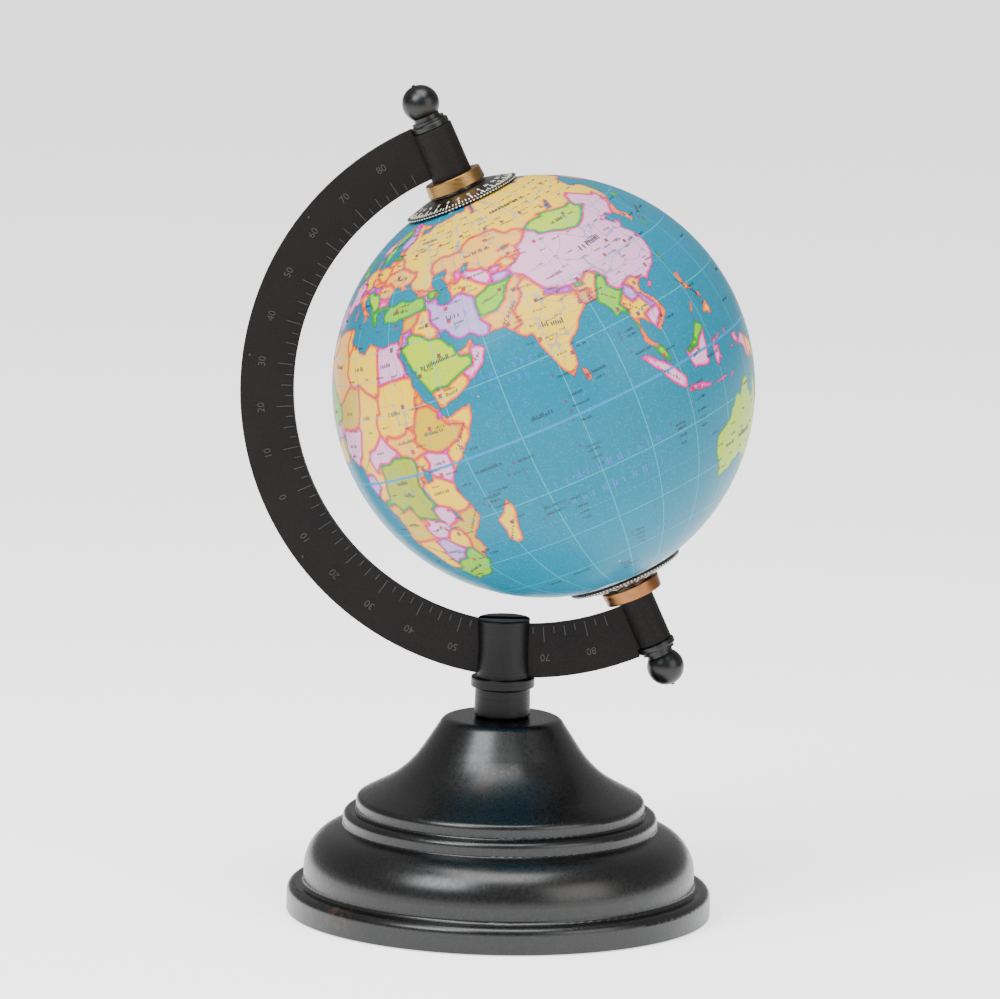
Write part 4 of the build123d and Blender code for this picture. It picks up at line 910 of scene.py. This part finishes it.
mapPaper = globeInk()
for vert in sheet.verts:
    vert.co = axleFrame @ onGlobe(vert.co.x, vert.co.y, radius)
bmesh.ops.remove_doubles(sheet, verts=[vert for vert in sheet.verts if vert.is_boundary], dist=1e-7)
axis = (axleFrame.to_3x3() @ Vector((0, 0, 1))).normalized()
bmesh.ops.bisect_plane(sheet, geom=sheet.verts[:] + sheet.edges[:] + sheet.faces[:], dist=1e-6,
    plane_co=globeMiddle, plane_no=axis)
for name, side in (("northGlobeHalf", 1), ("southGlobeHalf", -1)):
    half = sheet.copy()
    other = [face for face in half.faces if (face.calc_center_median() - globeMiddle).dot(axis) * side < 0]
    bmesh.ops.delete(half, geom=other, context="FACES")
    inside = bmesh.ops.extrude_face_region(half, geom=half.faces[:])["geom"]
    inside = [item for item in inside if isinstance(item, bmesh.types.BMVert)]
    shrink = 1 - globeSize["wall"] / radius
    bmesh.ops.scale(half, vec=(shrink,) * 3, verts=inside, space=Matrix.Translation(-globeMiddle))
    bmesh.ops.recalc_face_normals(half, faces=half.faces[:])
    for face in half.faces:
        deep = min((vert.co - globeMiddle).length for vert in face.verts) < radius - mm
        face.material_index = 1 if deep else 0
    print(name, len(half.faces), "open edges", sum(1 for edge in half.edges if len(edge.link_faces) != 2))
    keepPiece(half, name, "globe", (name.split("Globe")[0] + "_hemisphere",),
        (mapPaper, finishes["strawboard"]))
sheet.free()


# names on the map are rows of small upright bars that spell nothing
def glyphRow(shape, longitude, latitude, count, tall, lean=0.0, gap=.62):
    shrink = 1 / (perDegree * max(.25, math.cos(math.radians(latitude))))
    tall *= 1.2
    for i in range(count):
        x = longitude + (i - count / 2) * tall * gap * shrink
        y = latitude + (i - count / 2) * tall * gap * lean / perDegree
        place = mapPlace(x, y)
        first, second = wander.uniform(.6, 1), wander.uniform(.35, 1)
        strokes = [(-.18, (first - 1) / 2, .2, first), (.16, (second - 1) / 2, .2, second)]
        strokes = strokes[:wander.choice((1, 2, 2))]
        for dx, dy, wide, high in strokes:
            size = Matrix.Diagonal((wide * tall * mm, high * tall * mm, .05 * mm, 1))
            spot = place @ Matrix.Translation((dx * tall * mm, dy * tall * mm, 0))
            bmesh.ops.create_cube(shape, size=1, matrix=spot @ size)


def mapPlace(longitude, latitude):
    out = onGlobe(longitude, latitude)
    eastward = Vector((-out.y, out.x, 0)).normalized()
    northward = out.cross(eastward)
    turn = Matrix((eastward, northward, out)).transposed().to_4x4()
    return axleFrame @ Matrix.Translation(out * (radius - .01 * mm)) @ turn


perDegree = radius / mm * math.radians(1)
countryNames = [
    (95, 62, 12, 1.5, 0), (67, 48.6, 9, 1.2, 0), (103, 46.6, 7, 1.15, 0), (104, 36, 6, 1.9, .1),
    (87, 32.4, 5, 1.1, 0), (79, 21.6, 5, 1.6, -.25), (69.5, 28.6, 7, 1.1, .9), (66, 33.8, 8, .9, .2),
    (54, 33, 4, 1.5, 0), (43.5, 33, 4, 1, 0), (45.5, 23.6, 9, 1.35, .1), (35, 39, 6, 1.2, 0),
    (48, 15.6, 5, 1, .1), (57, 21.5, 4, 1, .8), (28.8, 26.4, 5, 1.1, 0), (17, 27, 5, 1.2, 0),
    (3, 28, 7, 1.2, 0), (30, 15, 5, 1.3, 0), (18.5, 15.5, 4, 1.1, 0), (10, 17, 5, 1, 0),
    (-2, 17.4, 4, 1, 0), (8, 9.4, 6, .9, 0), (40, 8.4, 8, 1.1, 0), (46.3, 5.8, 7, 1, 1.1),
    (38, 1.2, 5, 1, 0), (32.4, 1.8, 6, .8, 0), (24, -1, 5, 1.2, 0), (24, -4, 4, 1.2, 0),
    (34.6, -5.6, 7, 1, 0), (17.5, -12, 6, 1.1, 0), (26, -14.6, 6, 1, .3), (38.3, -14.6, 9, .9, 1),
    (24, -22.4, 8, .9, 0), (18, -21, 7, .9, -.8), (24, -30, 10, 1, .3), (46.6, -20.4, 9, .9, 1.4),
    (30.5, 8, 8, .9, 0), (20.5, 7, 5, .9, 0), (12.8, 5, 7, .8, .8), (58.5, 39.6, 9, .8, -.2),
    (64, 41.6, 9, .8, 0), (101, 16.4, 7, .9, -.9), (96, 21.6, 6, .9, -.9), (84, 28.3, 4, .75, -.3),
    (108, 13.2, 6, .8, 1.4), (113, .4, 5, 1, .3), (102, -1.4, 7, 1, -.9), (110.4, -7.4, 4, .8, -.1),
    (119, -2, 8, 1.1, 0), (122, 14, 8, .9, -1.2), (134, -25.4, 9, 1.7, 0), (122, -26, 7, 1, 0),
    (146, -32, 6, 1, 0), (138, 36.6, 5, 1, .6), (83.5, 7.6, 8, 1, 0), (67, 3.2, 8, 1.1, 0),
    (49.5, -3.6, 10, 1.1, 0), (46.8, -10.4, 7, 1, 0), (60.5, -18.4, 9, 1, 0), (32, 49, 7, 1, 0),
    (45, 60, 6, 1.2, 0), (25, 46.2, 7, .8, 0), (16, 62, 6, .9, .6), (143.5, 24, 7, .9, 0),
    (-100, 40, 9, 1.6, 0), (-105, 57, 6, 1.6, 0), (-102, 24, 6, 1.1, -.5), (-53, -9, 6, 1.8, 0),
    (-65, -36, 9, 1.1, 0), (-75, -9, 4, 1.1, -.5), (-150, 65, 6, 1.1, 0), (-40, 72, 9, 1.2, 0),
    (30, -79, 10, 1.6, 0)]
seaNames = [
    (79, -13.4, 11, 2.1, 0), (80, -19.4, 10, 2.1, 0), (63, 16.4, 8, 1.5, 0), (64, 13.4, 5, 1.5, 0),
    (88, 14.6, 8, 1.3, 0), (97, -41, 9, 1.5, 0), (135, 22, 9, 1.6, 0), (-150, 10, 12, 2.2, 0),
    (-150, -25, 12, 2.2, 0), (-35, 28, 10, 2.1, 0), (-20, -20, 10, 2.1, 0), (5, -48, 10, 1.8, 0),
    (60, -60, 12, 1.7, 0), (114, 13, 6, 1, .6), (150, 30, 8, 1.2, 0)]
smallNames = [(x + 3.2, y + wander.choice((-.2, .9, -1.1)), wander.randint(5, 8), .66, 0) for x, y in towns]
smallNames += [(x + 3.4, y + wander.choice((0, .8, -.9)), wander.randint(6, 10), .72, 0) for x, y in islets]
for x, y in ((77.6, -37.8), (97.2, -12.1), (72, -7), (69.5, -49.4), (63.4, -19.7), (105.6, -10.5)):
    smallNames += [(x + 3.2, y - 2.0 * line, 7 - line, .8, 0) for line in range(1, 4)]
for low, high, step, latitudes in ((30, 140, 9, (66, 62, 58, 54)), (78, 120, 6, (41, 37, 33, 29, 26)),
    (72, 86, 5, (26, 23, 19, 15)), (12, 40, 7, (24, 12, -4, -12, -24)), (115, 150, 8, (-20, -24, -29))):
    smallNames += [(x + wander.uniform(-2, 2), y + wander.uniform(-1, 1), wander.randint(4, 7), .58,
        0) for y in latitudes for x in range(low, high, step)]
names = bmesh.new()
for x, y, count, tall, lean in countryNames + smallNames:
    glyphRow(names, x, y, count, tall, lean)
keepPiece(names, "mapNames", "globe", (), (finishes["nameInk"],))
seaLetters = bmesh.new()
for x, y, count, tall, lean in seaNames:
    glyphRow(seaLetters, x, y, count, tall, lean, gap=1.25)
keepPiece(seaLetters, "seaNames", "globe", (), (finishes["seaInk"],))
print("names set")


# figures and ticks for the degree scale and the hour dials
def figure(shape, text, size, place, proud):
    curve = bpy.data.curves.new("figure", "FONT")
    curve.body, curve.size, curve.extrude = text, size, proud
    curve.align_x = curve.align_y = "CENTER"
    curve.resolution_u = 3
    holder = bpy.data.objects.new("figure", curve)
    made = bpy.data.meshes.new_from_object(holder)
    made.transform(place)
    shape.from_mesh(made)
    bpy.data.objects.remove(holder)
    bpy.data.curves.remove(curve)
    bpy.data.meshes.remove(made)


def tick(shape, place, wide, high, deep):
    bmesh.ops.create_cube(shape, size=1, matrix=place @ Matrix.Diagonal((wide, high, deep, 1)))


scale = {"inset": 4.5 * mm, "inner": 70.95 * mm, "outer": 86.95 * mm, "half": 2 * mm, "proud": .16 * mm,
         "figure": 3.1 * mm, "step": 2.5, "pips": (-58, -13, 31, 62), "pipRadius": .45 * mm}
arcFrame = axleFrame @ Matrix.Translation((-scale["inset"], 0, 0))
marks = bmesh.new()
for side in (-1, 1):
    # side -1 is the face towards the front; its own x runs along the arc and its y away from the globe
    for stepCount in range(-34, 35):
        angle = stepCount * scale["step"]
        spin = math.radians(180 - angle)
        outward = Vector((math.cos(spin), 0, math.sin(spin)))
        normal = Vector((0, side, 0))
        along = outward.cross(normal)
        turn = Matrix((along, outward, normal)).transposed().to_4x4()
        long = 4.6 if stepCount % 4 == 0 else 3.2 if stepCount % 2 == 0 else 2.0
        middle = outward * (scale["inner"] + (.5 + long / 2) * mm) + normal * scale["half"]
        tick(marks, arcFrame @ Matrix.Translation(middle) @ turn, .28 * mm, long * mm, 2 * scale["proud"])
        if stepCount % 4 == 0:
            spot = outward * (scale["outer"] - 6.2 * mm) + normal * scale["half"]
            figure(marks, str(abs(round(angle))), scale["figure"],
                arcFrame @ Matrix.Translation(spot) @ turn, scale["proud"])
    for angle in scale["pips"]:
        spin = math.radians(180 - angle)
        spot = Vector((math.cos(spin), 0, math.sin(spin))) * (scale["outer"] - 2.2 * mm) + Vector((0,
            side * scale["half"], 0))
        bmesh.ops.create_uvsphere(marks, u_segments=12, v_segments=8, radius=scale["pipRadius"],
            matrix=arcFrame @ Matrix.Translation(spot))
keepPiece(marks, "meridianScale", "stand", (), (finishes["scaleInk"],))

dial = {"rim": 17.6 * mm, "top": 64.95 * mm, "drop": 2.6 * mm, "flatRadius": 8.6 * mm, "ticks": 96,
        "long": 2.6, "middling": 1.7, "short": 1.1, "figureIn": 4.9 * mm, "figure": 1.9 * mm}


def onSlope(turned, at, slope):
    height = dial["top"] - (at - dial["flatRadius"]) * math.tan(slope)
    return turned @ Matrix.Translation((at, 0, height)) @ Matrix.Rotation(slope, 4, "Y")


for name, pole, body in (("northDialPrint", axleFrame, "north_dial"),
    ("southDialPrint", southFrame, "south_dial")):
    prints = bmesh.new()
    slope = math.atan2(dial["drop"], dial["rim"] - dial["flatRadius"])
    for i in range(dial["ticks"]):
        spin = Matrix.Rotation(2 * math.pi * i / dial["ticks"], 4, "Z")
        long = dial["long"] if i % 4 == 0 else dial["middling"] if i % 2 == 0 else dial["short"]
        at = dial["rim"] - (.9 + long / 2) * mm
        place = onSlope(pole @ spin, at, slope)
        tick(prints, place, long * mm, (.26 if i % 4 else .4) * mm, .08 * mm)
        edge = pole @ spin @ Matrix.Translation((dial["rim"], 0, dial["top"] - dial["drop"] - .25 * mm))
        tick(prints, edge, .08 * mm, .5 * mm, .3 * mm)
        if i % 4 == 0:
            at = dial["rim"] - dial["figureIn"]
            place = onSlope(pole @ spin, at, slope)
            figure(prints, str((i // 4) % 12 + 1), dial["figure"],
                place @ Matrix.Rotation(-math.pi / 2, 4, "Z"), .045 * mm)
    keepPiece(prints, name, body, (), (finishes["dialCream"],))
print("scale and dials marked")

# a pale floor, soft lamps and the camera
floor = bmesh.new()
bmesh.ops.create_grid(floor, x_segments=2, y_segments=2, size=6)
floorMesh = bpy.data.meshes.new("studioFloor")
floor.to_mesh(floorMesh)
floor.free()
studioFloor = bpy.data.objects.new("studioFloor", floorMesh)
bpy.context.scene.collection.objects.link(studioFloor)
floorMaterial, tree, bsdf = newMaterial("paleSweep", roughness=.8, emission_strength=1.4)
bsdf.inputs["Emission Color"].default_value = (1, 1, 1, 1)
bsdf.inputs["Base Color"].default_value = paint(250, 250, 250)
floorMesh.materials.append(floorMaterial)

world = bpy.data.worlds.new("paleRoom")
bpy.context.scene.world = world
world.use_nodes = True
world.node_tree.nodes["Background"].inputs["Color"].default_value = (1, 1, 1, 1)
world.node_tree.nodes["Background"].inputs["Strength"].default_value = .42
lamps = {
    "keyLeft": {"at": (-.7, -.8, 1.1), "size": .7, "watts": 22, "color": (.93, .97, 1.0)},
    "fillRight": {"at": (1.0, -.8, .6), "size": .9, "watts": 9, "color": (1.0, .98, .95)},
    "overhead": {"at": (.0, -.25, 1.2), "size": .8, "watts": 18, "color": (1, 1, 1)}}
aim = Vector((0, 0, .13))
for name, lamp in lamps.items():
    light = bpy.data.lights.new(name, "AREA")
    light.size, light.energy, light.color = lamp["size"], lamp["watts"], lamp["color"]
    holder = bpy.data.objects.new(name, light)
    holder.location = lamp["at"]
    holder.rotation_euler = (aim - Vector(lamp["at"])).to_track_quat("-Z", "Y").to_euler()
    bpy.context.scene.collection.objects.link(holder)

view = {"distance": 3.0, "azimuth": 1.19, "elevation": 9.85, "roll": 1.2, "target": (-.00199, 0, .12647),
    "lens": 359.16}
around, up = math.radians(view["azimuth"]), math.radians(view["elevation"])
target = Vector(view["target"])
eye = target + view["distance"] * Vector((math.sin(around) * math.cos(up), -math.cos(around) * math.cos(up),
    math.sin(up)))
lensPiece = bpy.data.cameras.new("tableView")
lensPiece.lens, lensPiece.sensor_width, lensPiece.clip_end = view["lens"], 36, 50
camera = bpy.data.objects.new("tableView", lensPiece)
camera.matrix_world = (Matrix.Translation(eye) @ (target - eye).to_track_quat("-Z",
    "Y").to_matrix().to_4x4()
                       @ Matrix.Rotation(math.radians(view["roll"]), 4, "Z"))
bpy.context.scene.collection.objects.link(camera)
bpy.context.scene.camera = camera
